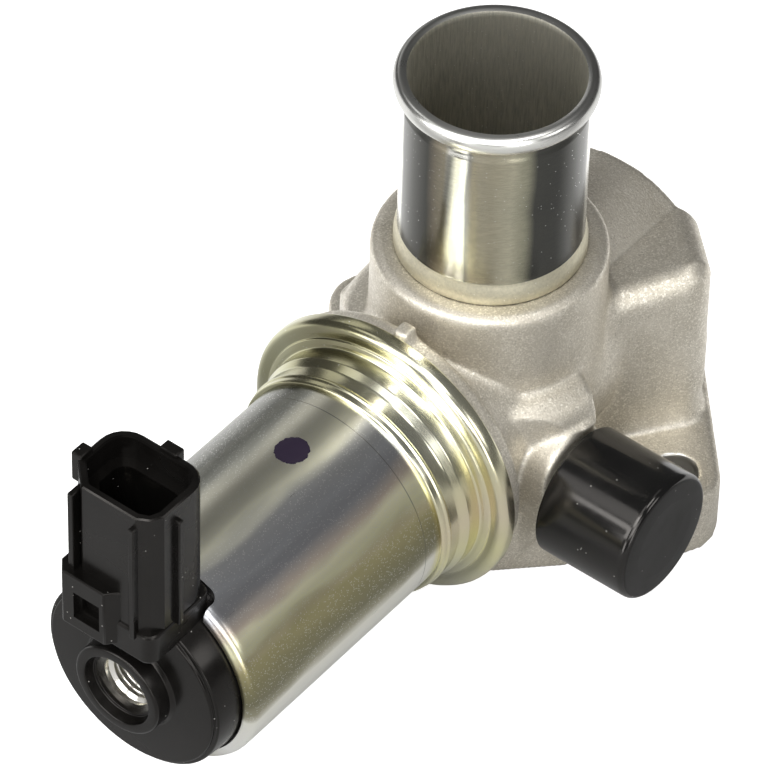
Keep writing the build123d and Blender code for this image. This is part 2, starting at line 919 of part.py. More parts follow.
def build_disc_clip():
    """The open clip in the rod's groove."""
    with BuildPart() as clip:
        with BuildSketch(across(disc_washer_front_y)):
            Circle(clip_r)
            Circle(rod_r - clip_depth, mode=Mode.SUBTRACT)
            with Locations((0, clip_r / 2)):
                Rectangle(2 * (rod_r - clip_depth), clip_r, mode=Mode.SUBTRACT)
        extrude(amount=-clip_thickness)
    return clip


def build_valve_seat():
    """The seat ring, with its raised lip towards the disc."""
    with BuildPart() as seat:
        with BuildSketch(across(seat_y)):
            Circle(bore_r)
            Circle(seat_bore_r, mode=Mode.SUBTRACT)
        extrude(amount=seat_depth)
        with BuildSketch(across(seat_y)):
            Circle(seat_bore_r + seat_lip_width)
            Circle(seat_bore_r, mode=Mode.SUBTRACT)
        extrude(amount=-seat_lip_height)
    return seat


def build_return_spring():
    """The coil spring between the screw and the plunger."""
    first_y = screw_back_y + spring_wire_r
    length = spring_back_y - spring_wire_r - first_y
    with BuildPart() as spring:
        with BuildLine() as wire:
            Helix(
                pitch=length / spring_turns,
                height=length,
                radius=spring_r,
                center=(0, first_y, axis_height),
                direction=(0, 1, 0),
            )
        with BuildSketch(Plane(origin=wire.line @ 0, z_dir=wire.line % 0)):
            Circle(spring_wire_r)
        sweep(is_frenet=True)
    return spring


def build_body_seal():
    """The O-ring in the casting's groove, flattened where the solenoid presses on it."""
    groove_floor_y = register_y + body_groove_depth
    with BuildPart() as seal:
        with BuildSketch(profile_plane):
            with Locations(((register_y + groove_floor_y) / 2, body_seal_r)):
                Circle(body_seal_cord_r)
                Rectangle(body_groove_depth, 2 * body_seal_cord_r, mode=Mode.INTERSECT)
        revolve(axis=axis_line)
    return seal


def build_end_cap_seal():
    """The O-ring between the end cap's plug and the can."""
    with BuildPart() as seal:
        with BuildSketch(profile_plane):
            with Locations((plug_back_y - cap_groove_setback, can_bore_r - cap_seal_cord_r)):
                Circle(cap_seal_cord_r)
        revolve(axis=axis_line)
    return seal


terminal_left = build_terminal(-1)
terminal_right = build_terminal(1)
both_terminals = [terminal_left, terminal_right]

keep(build_valve_body(), "valve_body")
keep(build_inlet_tube(), "inlet_tube")
keep(build_port_cap(), "port_cap")
keep(build_solenoid_collar(), "solenoid_collar")
keep(build_solenoid_can(), "solenoid_can")
keep(build_end_cap(both_terminals), "end_cap")
keep(terminal_left, "terminal_left")
keep(terminal_right, "terminal_right")
keep(build_fixed_core(), "fixed_core")
keep(build_adjusting_screw(), "adjusting_screw")
keep(build_front_flux_washer(), "front_flux_washer")
keep(build_coil_bobbin(both_terminals), "coil_bobbin")
keep(ring(winding_front_y, winding_back_y, winding_r, bobbin_tube_r), "coil_winding")
keep(ring(winding_front_y, winding_back_y, winding_r + tape_thickness, winding_r), "coil_tape")
keep(ring(bobbin_front_y, plate_front_y + guide_seat_depth, guide_r, guide_bore_r), "guide_tube")
keep(build_pole_plate(), "pole_plate")
keep(ring(front_bush_front_y, front_bush_front_y + bush_length, bush_r, bush_bore_r), "front_bush")
keep(build_plunger(), "plunger")
keep(build_valve_rod(), "valve_rod")
keep(build_return_spring(), "return_spring")
keep(build_valve_disc(), "valve_disc")
keep(ring(disc_washer_front_y, disc_hub_front_y, disc_washer_r, rod_r), "disc_washer")
keep(build_disc_clip(), "disc_clip")
keep(build_valve_seat(), "valve_seat")
keep(ring(rear_bush_front_y, rear_bush_back_y, rear_bush_r, bush_bore_r), "rear_bush")
keep(build_body_seal(), "body_seal")
keep(build_end_cap_seal(), "end_cap_seal")
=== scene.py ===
"""Dresses the idle air control valve: finishes, fine shapes, studio and camera.

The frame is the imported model's: the origin lies on the mounting face, +Z runs up the hose tube, -Y
along the solenoid and +X towards the side spout. Sizes here are in millimetres, meshes in metres.
"""

import logging
import math
from collections.abc import Callable
from dataclasses import dataclass
from enum import Enum

import bpy
from mathutils import Matrix, Vector


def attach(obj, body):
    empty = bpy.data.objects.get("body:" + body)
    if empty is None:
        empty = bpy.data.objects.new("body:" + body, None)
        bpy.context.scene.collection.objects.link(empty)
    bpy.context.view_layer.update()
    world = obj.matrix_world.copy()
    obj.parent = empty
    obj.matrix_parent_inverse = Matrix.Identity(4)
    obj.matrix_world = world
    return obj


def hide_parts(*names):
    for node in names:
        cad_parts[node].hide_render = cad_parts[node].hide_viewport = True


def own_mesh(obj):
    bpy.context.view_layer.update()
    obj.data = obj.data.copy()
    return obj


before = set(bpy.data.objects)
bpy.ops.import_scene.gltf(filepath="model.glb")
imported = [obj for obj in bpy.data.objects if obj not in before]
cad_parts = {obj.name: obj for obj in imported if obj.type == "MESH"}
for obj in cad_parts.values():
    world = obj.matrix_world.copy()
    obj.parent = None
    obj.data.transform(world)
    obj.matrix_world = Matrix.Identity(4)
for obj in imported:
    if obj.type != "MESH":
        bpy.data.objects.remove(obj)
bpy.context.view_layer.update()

MM = 0.001
MERGE_DISTANCE = 2e-6
log = logging.getLogger("valve")

Piece = bpy.types.Object
Material = bpy.types.Material
Tree = bpy.types.NodeTree
Node = bpy.types.Node
Socket = bpy.types.NodeSocket

Point = tuple[float, float]
Triple = tuple[float, float, float]
Range = tuple[float, float]
Colour = float | Triple  # one number stands for a neutral grey
Stops = tuple[tuple[float, Colour], ...]  # (degrees round an axis, colour)
Source = Socket | float | Triple


class Axis(Enum):
    """The valve's turning axes: a point on each, its direction and the direction of its radius."""

    SOLENOID = ((0.0, 0.0, 22.0), (0.0, 1.0, 0.0), (0.0, 0.0, 1.0))
    TUBE = ((0.0, -9.2, 0.0), (0.0, 0.0, 1.0), (1.0, 0.0, 0.0))
    SPOUT = ((0.0, -15.8, 16.0), (1.0, 0.0, 0.0), (0.0, 0.0, 1.0))

    @property
    def origin(self) -> Vector:
        """A point on the axis, in metres."""
        return Vector(self.value[0]) * MM

    @property
    def direction(self) -> Vector:
        """The unit vector along the axis."""
        return Vector(self.value[1])

    @property
    def radial(self) -> Vector:
        """The unit vector from the axis in which an outline is drawn."""
        return Vector(self.value[2])

    def place(self, along: float, radius: float) -> Vector:
        """Turns a station and a radius into a point.

        Args:
            along: distance along the axis, in millimetres.
            radius: distance from the axis, in millimetres.

        Returns:
            The point in metres.
        """
        return self.origin + self.direction * (along * MM) + self.radial * (radius * MM)


# Modelling with Blender's own tools


def start_clean() -> None:
    """Leaves object mode with nothing selected."""
    if bpy.context.object and bpy.context.object.mode != "OBJECT":
        bpy.ops.object.mode_set(mode="OBJECT")
    bpy.ops.object.select_all(action="DESELECT")


def make_active(piece: Piece) -> None:
    """Selects one object alone and makes it active."""
    start_clean()
    piece.select_set(True)
    bpy.context.view_layer.objects.active = piece


def shade(piece: Piece, sharp_deg: float) -> None:
    """Shades a piece smooth, apart from the edges sharper than an angle."""
    make_active(piece)
    bpy.ops.object.shade_smooth_by_angle(angle=math.radians(sharp_deg))


def draw_chain(name: str, points: list[Vector]) -> Piece:
    """Draws a chain of edges: a plane is shrunk to one vertex, which is extruded from point to point.

    Args:
        name: the new object's name.
        points: the chain's points, in metres.

    Returns:
        The new object, in edit mode with all of it selected.
    """
    start_clean()
    bpy.ops.mesh.primitive_plane_add(size=MM, location=points[0])
    piece = bpy.context.object
    piece.name = name
    bpy.ops.object.transform_apply(location=True, rotation=True, scale=True)
    bpy.ops.object.mode_set(mode="EDIT")
    bpy.ops.mesh.select_mode(type="VERT")
    bpy.ops.mesh.select_all(action="SELECT")
    bpy.ops.mesh.merge(type="CENTER")
    for here, there in zip(points, points[1:]):
        bpy.ops.mesh.extrude_region_move(TRANSFORM_OT_translate={"value": there - here})
    bpy.ops.mesh.select_all(action="SELECT")
    return piece


def close_mesh(piece: Piece, sharp_deg: float = 35.0) -> None:
    """Merges doubles, turns the faces outwards and shades the piece smooth up to an angle.

    Args:
        piece: the object, in edit mode.
        sharp_deg: edges sharper than this stay sharp.
    """
    bpy.ops.mesh.select_all(action="SELECT")
    bpy.ops.mesh.remove_doubles(threshold=MERGE_DISTANCE)
    bpy.ops.mesh.normals_make_consistent(inside=False)
    shade(piece, sharp_deg)


def merged_copy(node: str, name: str) -> Piece:
    """Copies a CAD node's mesh as a new piece and closes it.

    Args:
        node: the CAD node.
        name: the new object's name.

    Returns:
        The copy.
    """
    make_active(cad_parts[node])
    bpy.ops.object.duplicate()
    piece = bpy.context.object
    piece.name = name
    piece.data.name = name
    bpy.ops.object.mode_set(mode="EDIT")
    close_mesh(piece)
    return piece


def turn(name: str, axis: Axis, outline: list[Point], steps: int = 160) -> Piece:
    """Turns a closed outline round one of the valve's axes.

    Args:
        name: the new object's name.
        axis: the axis to turn about.
        outline: (along, radius) pairs in millimetres.
        steps: how many steps make a full turn.

    Returns:
        The turned object.
    """
    points = [axis.place(along, radius) for along, radius in outline]
    piece = draw_chain(name, [*points, points[0]])
    bpy.ops.mesh.spin(
        steps=steps, angle=2 * math.pi, center=axis.origin, axis=axis.direction, use_auto_merge=True
    )
    close_mesh(piece)
    return piece


def prism(name: str, outline: list[Point], foot: float, top: float, crown: float = 0.0) -> Piece:
    """Raises a plan outline into an upright prism.

    Args:
        name: the new object's name.
        outline: (x, y) pairs in millimetres.
        foot: height of the lower face, in millimetres.
        top: height of the upper face, in millimetres.
        crown: size of the bevel round the upper face, in millimetres.

    Returns:
        The closed prism.
    """
    piece = draw_chain(name, [Vector((x, y, foot)) * MM for x, y in outline])
    bpy.ops.mesh.edge_face_add()
    height = Vector((0, 0, (top - crown - foot) * MM))
    bpy.ops.mesh.extrude_region_move(TRANSFORM_OT_translate={"value": height})
    if crown > 0:
        bpy.ops.mesh.inset(thickness=crown * MM, depth=0.0)
        bpy.ops.transform.translate(value=Vector((0, 0, crown * MM)))
    close_mesh(piece, sharp_deg=30.0)
    return piece


def box(name: str, low: Triple, high: Triple) -> Piece:
    """Makes a block between its lowest and its highest corner, in millimetres."""
    outline = [(low[0], low[1]), (high[0], low[1]), (high[0], high[1]), (low[0], high[1])]
    return prism(name, outline, low[2], high[2])


def rounded(corners: tuple[Triple, ...], steps: int) -> list[Point]:
    """Rounds the corners of an outline.

    Args:
        corners: (first, second, radius) triples; a radius of 0 keeps the corner sharp.
        steps: steps per rounded corner.

    Returns:
        The outline with an arc at each rounded corner.
    """
    out: list[Point] = []
    for index, (x, y, radius) in enumerate(corners):
        here = Vector((x, y))
        if radius <= 0:
            out.append((x, y))
            continue
        before = Vector(corners[index - 1][:2])
        after = Vector(corners[(index + 1) % len(corners)][:2])
        to_before = (before - here).normalized()
        to_after = (after - here).normalized()
        half = to_before.angle(to_after) / 2
        reach = radius / math.tan(half)
        centre = here + (to_before + to_after).normalized() * (radius / math.sin(half))
        start = here + to_before * reach - centre
        turn_by = start.angle_signed(here + to_after * reach - centre)
        for step in range(steps + 1):
            arm = start.copy()
            arm.rotate(Matrix.Rotation(-turn_by * step / steps, 2))
            out.append((centre.x + arm.x, centre.y + arm.y))
    return out


def shifted(points: tuple[Point, ...], along: float, radius: float) -> list[Point]:
    """Moves part of an outline along its axis and off it, in millimetres."""
    return [(along + up, radius + out) for up, out in points]


def finish_with(piece: Piece, kind: str, **settings: float | str | bool | Piece) -> None:
    """Adds one modifier and applies it.

    Args:
        piece: the object to change.
        kind: the modifier's type.
        settings: its properties.
    """
    make_active(piece)
    modifier = piece.modifiers.new(kind.title(), kind)
    for key, value in settings.items():
        setattr(modifier, key, value)
    bpy.ops.object.modifier_apply(modifier=modifier.name)


def combine(piece: Piece, tool: Piece, operation: str) -> None:
    """Joins a closed shape to a piece or cuts it out, and removes the shape.

    Args:
        piece: the object to change.
        tool: the closed shape.
        operation: UNION or DIFFERENCE.
    """
    finish_with(piece, "BOOLEAN", operation=operation, object=tool, solver="EXACT")
    bpy.data.objects.remove(tool)


def bevel_edges(piece: Piece, width: float) -> None:
    """Rounds the sharp edges of a piece a little, as a mould does.

    Args:
        piece: the object to change.
        width: bevel width in millimetres.
    """
    limit = math.radians(50.0)
    finish_with(piece, "BEVEL", width=width * MM, segments=2, limit_method="ANGLE", angle_limit=limit)
    shade(piece, sharp_deg=40.0)


# Node sheets and shared effects


def opaque(colour: Colour) -> tuple[float, float, float, float]:
    """Gives a linear colour its alpha; one number stands for a neutral grey."""
    return (*colour, 1.0) if isinstance(colour, tuple) else (colour, colour, colour, 1.0)


class NodeSheet:
    """A small pen for drawing shader nodes on one node tree."""

    MIX_SOCKETS = (0, 6, 7)
    MIXED_COLOUR = 2

    def __init__(self, tree: Tree) -> None:
        """Lays the sheet on a node tree."""
        self.tree = tree

    def feed(self, entry: Socket, value: Source) -> None:
        """Links a socket to an input, or writes a plain value there."""
        if isinstance(value, Socket):
            self.tree.links.new(value, entry)
        else:
            entry.default_value = opaque(value) if entry.type == "RGBA" else value

    def add(self, kind: str, **settings: object) -> Node:
        """Adds a node and sets its properties and inputs.

        Args:
            kind: the node's type, without the ShaderNode in front.
            settings: its properties; a key that names an input gives what feeds it.

        Returns:
            The new node.
        """
        node = self.tree.nodes.new("ShaderNode" + kind)
        for key, value in settings.items():
            if hasattr(node, key):
                setattr(node, key, value)
            else:
                self.feed(node.inputs[key.replace("_", " ")], value)
        return node

    def math(self, operation: str, first: Source, second: Source = 0.0, clamp: bool = False) -> Socket:
        """Adds a Math node.

        Args:
            operation: the node's operation.
            first: a socket or a number.
            second: a socket or a number.
            clamp: whether the result is held between 0 and 1.

        Returns:
            The node's result.
        """
        node = self.add("Math", operation=operation, use_clamp=clamp)
        self.feed(node.inputs[0], first)
        self.feed(node.inputs[1], second)
        return node.outputs[0]

    def plus(self, first: Source, second: Source) -> Socket:
        """Adds two sockets or numbers."""
        return self.math("ADD", first, second)

    def minus(self, first: Source, second: Source) -> Socket:
        """Takes the second socket or number from the first."""
        return self.math("SUBTRACT", first, second)

    def times(self, first: Source, second: Source) -> Socket:
        """Multiplies two sockets or numbers."""
        return self.math("MULTIPLY", first, second)

    def scaled(self, value: Socket, gain: float, base: float) -> Socket:
        """Multiplies a value and adds a base to it."""
        return self.plus(self.times(value, gain), base)

    def lifted(self, value: Socket, floor: float, gain: float) -> Socket:
        """Takes a floor from a value and multiplies the rest, held between 0 and 1."""
        return self.math("MULTIPLY", self.minus(value, floor), gain, clamp=True)

    def swing(self, value: Socket, width: float) -> Socket:
        """Turns a value between 0 and 1 into one that swings about 0, as wide as given."""
        return self.times(self.minus(value, 0.5), width)

    def ramp(self, value: Socket, stops: Stops) -> Socket:
        """Adds a colour ramp.

        Args:
            value: the socket that drives it.
            stops: (position, colour) pairs, in rising order.

        Returns:
            The ramp's colour.
        """
        node = self.add("ValToRGB", Fac=value)
        elements = node.color_ramp.elements
        while len(elements) < len(stops):
            elements.new(0.5)
        for element, (position, colour) in zip(elements, stops):
            element.position = position
            element.color = opaque(colour)
        return node.outputs["Color"]

    def mix(self, amount: Source, first: Source, second: Source, blend: str = "MIX") -> Socket:
        """Mixes two colours.

        Args:
            amount: a socket or a number.
            first: a socket or a colour.
            second: a socket or a colour.
            blend: the blend type.

        Returns:
            The mixed colour.
        """
        node = self.add("Mix", data_type="RGBA", blend_type=blend)
        for index, value in zip(self.MIX_SOCKETS, (amount, first, second)):
            self.feed(node.inputs[index], value)
        return node.outputs[self.MIXED_COLOUR]

    def object_place(self, scale: Triple = (1.0, 1.0, 1.0)) -> Socket:
        """Gives Object coordinates, scaled along X, Y and Z."""
        coordinates = self.add("TexCoord").outputs["Object"]
        return self.add("Mapping", Scale=scale, Vector=coordinates).outputs["Vector"]

    def split_place(self) -> list[Socket]:
        """Gives the X, Y and Z of Object coordinates."""
        return list(self.add("SeparateXYZ", Vector=self.object_place()).outputs)


class GroupSheet(NodeSheet):
    """A sheet on a new shader node group with a Vector input, number inputs and number outputs."""

    def __init__(self, name: str, values: dict[str, float], results: list[str]) -> None:
        """Starts the group.

        Args:
            name: the group's name.
            values: its number inputs with their default values.
            results: its outputs' names.
        """
        super().__init__(bpy.data.node_groups.new(name, "ShaderNodeTree"))
        sockets = self.tree.interface
        sockets.new_socket("Vector", in_out="INPUT", socket_type="NodeSocketVector")
        for key, value in values.items():
            sockets.new_socket(key, in_out="INPUT", socket_type="NodeSocketFloat").default_value = value
        for key in results:
            sockets.new_socket(key, in_out="OUTPUT", socket_type="NodeSocketFloat")
        self.inside = self.tree.nodes.new("NodeGroupInput").outputs
        self.outside = self.tree.nodes.new("NodeGroupOutput").inputs

    def texture(self, kind: str, scale_share: float = 1.0, **settings: float) -> Node:
        """Adds a texture on the group's Vector, at its Scale or at a share of it."""
        scale = self.inside["Scale"]
        if scale_share != 1.0:
            scale = self.times(scale, scale_share)
        return self.add(kind, Vector=self.inside["Vector"], Scale=scale, **settings)

    def give(self, **results: Socket) -> Tree:
        """Feeds the group's outputs and gives the finished group."""
        for key, value in results.items():
            self.feed(self.outside[key], value)
        return self.tree


@dataclass
class Effects:
    """The shader node groups that several finishes share, each drawn once."""

    coarse_share: float = 0.28
    cell_share: float = 1.6
    sparkle_power: float = 3.0
    line_floor: float = 0.36
    line_gain: float = 3.4
    blotch_floor: float = 0.32
    blotch_gain: float = 2.8

    def __post_init__(self) -> None:
        """Draws every group once."""
        self.grain = self.draw_grain()
        self.specks = self.draw_specks()
        self.lines = self.draw_lines()
        self.blotches = self.draw_blotches()

    def draw_grain(self) -> Tree:
        """Draws sand grain: a fine lumpy height with a coarser one under it, and bright cells."""
        sheet = GroupSheet("sand_grain", {"Scale": 2200.0, "Coarse": 0.35}, ["Height", "Sparkle"])
        fine = sheet.texture("TexNoise", Detail=3.0, Roughness=0.65)
        coarse = sheet.texture("TexNoise", self.coarse_share, Detail=2.0, Roughness=0.5)
        lumps = sheet.times(coarse.outputs["Fac"], sheet.inside["Coarse"])
        cells = sheet.texture("TexVoronoi", self.cell_share)
        bright = sheet.add("SeparateColor", Color=cells.outputs["Color"]).outputs["Red"]
        sparkle = sheet.math("POWER", bright, self.sparkle_power)
        return sheet.give(Height=sheet.plus(fine.outputs["Fac"], lumps), Sparkle=sparkle)

    def draw_specks(self) -> Tree:
        """Draws scattered specks: small round spots in a few of many cells."""
        sheet = GroupSheet("specks", {"Scale": 700.0, "Size": 0.16, "Share": 0.12}, ["Mask"])
        cells = sheet.texture("TexVoronoi")
        near = sheet.math("LESS_THAN", cells.outputs["Distance"], sheet.inside["Size"])
        draw = sheet.add("SeparateColor", Color=cells.outputs["Color"]).outputs["Green"]
        return sheet.give(Mask=sheet.times(near, sheet.math("LESS_THAN", draw, sheet.inside["Share"])))

    def draw_lines(self) -> Tree:
        """Draws drawn or turned lines: noise on coordinates that the material has stretched."""
        sheet = GroupSheet("lines", {"Scale": 900.0}, ["Height", "Tone"])
        noise = sheet.texture("TexNoise", Detail=4.0, Roughness=0.7).outputs["Fac"]
        return sheet.give(Height=noise, Tone=sheet.lifted(noise, self.line_floor, self.line_gain))

    def draw_blotches(self) -> Tree:
        """Draws soft large patches that vary a plating's tone."""
        sheet = GroupSheet("blotches", {"Scale": 60.0}, ["Amount"])
        noise = sheet.texture("TexNoise", Detail=3.0, Roughness=0.55, Distortion=0.6).outputs["Fac"]
        return sheet.give(Amount=sheet.lifted(noise, self.blotch_floor, self.blotch_gain))


class Shader:
    """A new material with its Principled BSDF and a sheet to draw on."""

    def __init__(self, name: str) -> None:
        """Makes the material and finds its Principled BSDF."""
        self.material = bpy.data.materials.new(name)
        self.material.use_nodes = True
        self.sheet = NodeSheet(self.material.node_tree)
        self.surface = self.material.node_tree.nodes["Principled BSDF"]

    def set(self, **values: Source) -> None:
        """Links sockets or writes plain values to the shader's own sockets."""
        for key, value in values.items():
            self.sheet.feed(self.surface.inputs[key.replace("_", " ")], value)

    def use(self, group: Tree, place: Socket, **values: float) -> dict[str, Socket]:
        """Places a shared group on the material.

        Args:
            group: the group to place.
            place: the coordinates it reads.
            values: its number inputs.

        Returns:
            The group's outputs by name.
        """
        node = self.sheet.add("Group", node_tree=group, Vector=place, **values)
        return {result.name: result for result in node.outputs}

    def bands(self, axis: Axis, stops: Stops, wander: Socket) -> Socket:
        """Colours the surface by the angle round an axis.

        Args:
            axis: the axis to go round.
            stops: (degrees, colour) pairs from -180 to 180; 0 is up, or -Y round the tube.
            wander: a share of a full turn that shifts the bands.

        Returns:
            The colour.
        """
        sheet = self.sheet
        x, y, z = sheet.split_place()
        ahead = sheet.minus(axis.origin.y, y) if axis is Axis.TUBE else sheet.minus(z, axis.origin.z)
        turns = sheet.math("DIVIDE", sheet.math("ARCTAN2", x, ahead), 2 * math.pi)
        share = sheet.plus(sheet.plus(turns, 0.5), wander)
        return sheet.ramp(share, tuple(((degrees + 180.0) / 360.0, colour) for degrees, colour in stops))

    def smear_gloss(self, axis: str, amount: float) -> None:
        """Smears the gloss across turning marks, as on a piece finished in a lathe.

        Args:
            axis: the axis that the marks run round, X, Y or Z.
            amount: how much the gloss is stretched, 0 to 1.
        """
        around = self.sheet.add("Tangent", direction_type="RADIAL", axis=axis)
        self.set(Tangent=around.outputs["Tangent"], Anisotropic=amount, Anisotropic_Rotation=0.25)

    def bump(self, height: Socket, strength: float, distance: float) -> None:
        """Raises the surface by a height.

        Args:
            height: the height to follow.
            strength: the bump's strength.
            distance: what a height of 1 stands for, in millimetres.
        """
        node = self.sheet.add("Bump", Strength=strength, Distance=distance * MM, Height=height)
        self.set(Normal=node.outputs["Normal"])


@dataclass(frozen=True)
class CastFinish:
    """Sand-cast aluminium: warm grey, grainy, with sparkle in the grain and dark pits."""

    name: str = "cast_aluminium"
    dark: Colour = (0.51, 0.470, 0.390)
    light: Colour = (0.92, 0.875, 0.775)
    pit: Colour = (0.24, 0.21, 0.17)
    metallic: float = 0.8
    roughness_low: float = 0.34
    roughness_high: float = 0.50
    grain_scale: float = 3400.0
    grain_height: float = 0.06
    grain_bump: float = 0.8
    sparkle: float = 0.75
    patch_scale: float = 90.0
    patch_tone: float = 0.3
    pit_scale: float = 2900.0
    pit_size: float = 0.32
    pit_share: float = 0.20
    pit_tone: float = 0.4

    def build(self, effects: Effects) -> Material:
        """Builds the material.

        Args:
            effects: the shared groups.

        Returns:
            The material.
        """
        shader = Shader(self.name)
        sheet = shader.sheet
        place = sheet.object_place()
        grain = shader.use(effects.grain, place, Scale=self.grain_scale)
        patches = shader.use(effects.blotches, place, Scale=self.patch_scale)["Amount"]
        pits = shader.use(
            effects.specks, place, Scale=self.pit_scale, Size=self.pit_size, Share=self.pit_share
        )["Mask"]
        tone = sheet.mix(sheet.times(grain["Sparkle"], self.sparkle), self.dark, self.light)
        tone = sheet.mix(sheet.times(patches, self.patch_tone), tone, self.light)
        tone = sheet.mix(sheet.times(pits, self.pit_tone), tone, self.pit)
        spread = self.roughness_low - self.roughness_high
        rough = sheet.scaled(grain["Sparkle"], spread, self.roughness_high)
        shader.set(Base_Color=tone, Roughness=rough, Metallic=self.metallic)
        shader.bump(grain["Height"], self.grain_bump, self.grain_height)
        return shader.material


@dataclass(frozen=True)
class PlatedFinish:
    """Plated or bare metal: drawn lines, fine specks and a slight change of tone."""

    name: str
    base: Colour
    second: Colour
    roughness: float
    roughness_spread: float
    stretch: Triple
    line_scale: float
    line_height: float = 0.004
    line_bump: float = 0.5
    line_tone: float = 0.0
    line_colour: Colour = (0.12, 0.12, 0.10)
    speck_share: float = 0.10
    speck_size: float = 0.16
    speck_scale: float = 2600.0
    speck_colour: Colour = (0.9, 0.9, 0.86)
    patch_scale: float = 55.0
    gloss_about: str = ""
    gloss_stretch: float = 0.0
    bands_about: Axis = Axis.TUBE
    band_stops: Stops = ()
    band_wander: float = 0.008

    def build(self, effects: Effects) -> Material:
        """Builds the material.

        Args:
            effects: the shared groups.

        Returns:
            The material.
        """
        shader = Shader(self.name)
        sheet = shader.sheet
        place = sheet.object_place()
        patches = shader.use(effects.blotches, place, Scale=self.patch_scale)["Amount"]
        lines = shader.use(effects.lines, sheet.object_place(self.stretch), Scale=self.line_scale)
        specks = shader.use(
            effects.specks, place, Scale=self.speck_scale, Size=self.speck_size, Share=self.speck_share
        )["Mask"]
        tone = sheet.mix(patches, self.base, self.second)
        # Bands round an axis: partly the plating's hue, mostly painted reflections of a studio, fixed to the
        # piece.
        if self.band_stops:
            wander = sheet.swing(patches, self.band_wander)
            hue_and_painted_reflections = shader.bands(self.bands_about, self.band_stops, wander)
            tone = sheet.mix(1.0, tone, hue_and_painted_reflections, "MULTIPLY")
        if self.line_tone:
            tone = sheet.mix(sheet.times(lines["Tone"], self.line_tone), tone, self.line_colour)
        tone = sheet.mix(specks, tone, self.speck_colour)
        rough = sheet.scaled(lines["Height"], self.roughness_spread, self.roughness)
        shader.set(Base_Color=tone, Roughness=rough, Metallic=1.0)
        if self.gloss_about:
            shader.smear_gloss(self.gloss_about, self.gloss_stretch)
        shader.bump(lines["Height"], self.line_bump, self.line_height)
        return shader.material


@dataclass(frozen=True)
class MouldedFinish:
    """Moulded plastic or rubber: near black or tinted, faintly mottled, with dust on it."""

    name: str
    base: Colour
    second: Colour
    roughness: float
    mottle_roughness: float = 0.10
    mottle_scale: float = 120.0
    dust: Colour = (0.35, 0.34, 0.32)
    dust_share: float = 0.10
    dust_size: float = 0.11
    dust_scale: float = 1300.0
    dust_roughness: float = 0.5
    grain_scale: float = 1300.0
    grain_height: float = 0.012
    grain_bump: float = 0.35
    specular: float = 0.5
    gloss_tint: Colour = (1.0, 0.95, 0.90)

    def build(self, effects: Effects) -> Material:
        """Builds the material.

        Args:
            effects: the shared groups.

        Returns:
            The material.
        """
        shader = Shader(self.name)
        sheet = shader.sheet
        place = sheet.object_place()
        grain = shader.use(effects.grain, place, Scale=self.grain_scale)
        mottle = shader.use(effects.blotches, place, Scale=self.mottle_scale)["Amount"]
        dust = shader.use(
            effects.specks, place, Scale=self.dust_scale, Size=self.dust_size, Share=self.dust_share
        )["Mask"]
        tone = sheet.mix(mottle, self.base, self.second)
        rough = sheet.scaled(mottle, self.mottle_roughness, self.roughness)
        shader.set(
            Base_Color=sheet.mix(dust, tone, self.dust),
            Roughness=sheet.plus(rough, sheet.times(dust, self.dust_roughness)),
            Specular_IOR_Level=self.specular, Specular_Tint=self.gloss_tint,
        )
        shader.bump(grain["Height"], self.grain_bump, self.grain_height)
        return shader.material


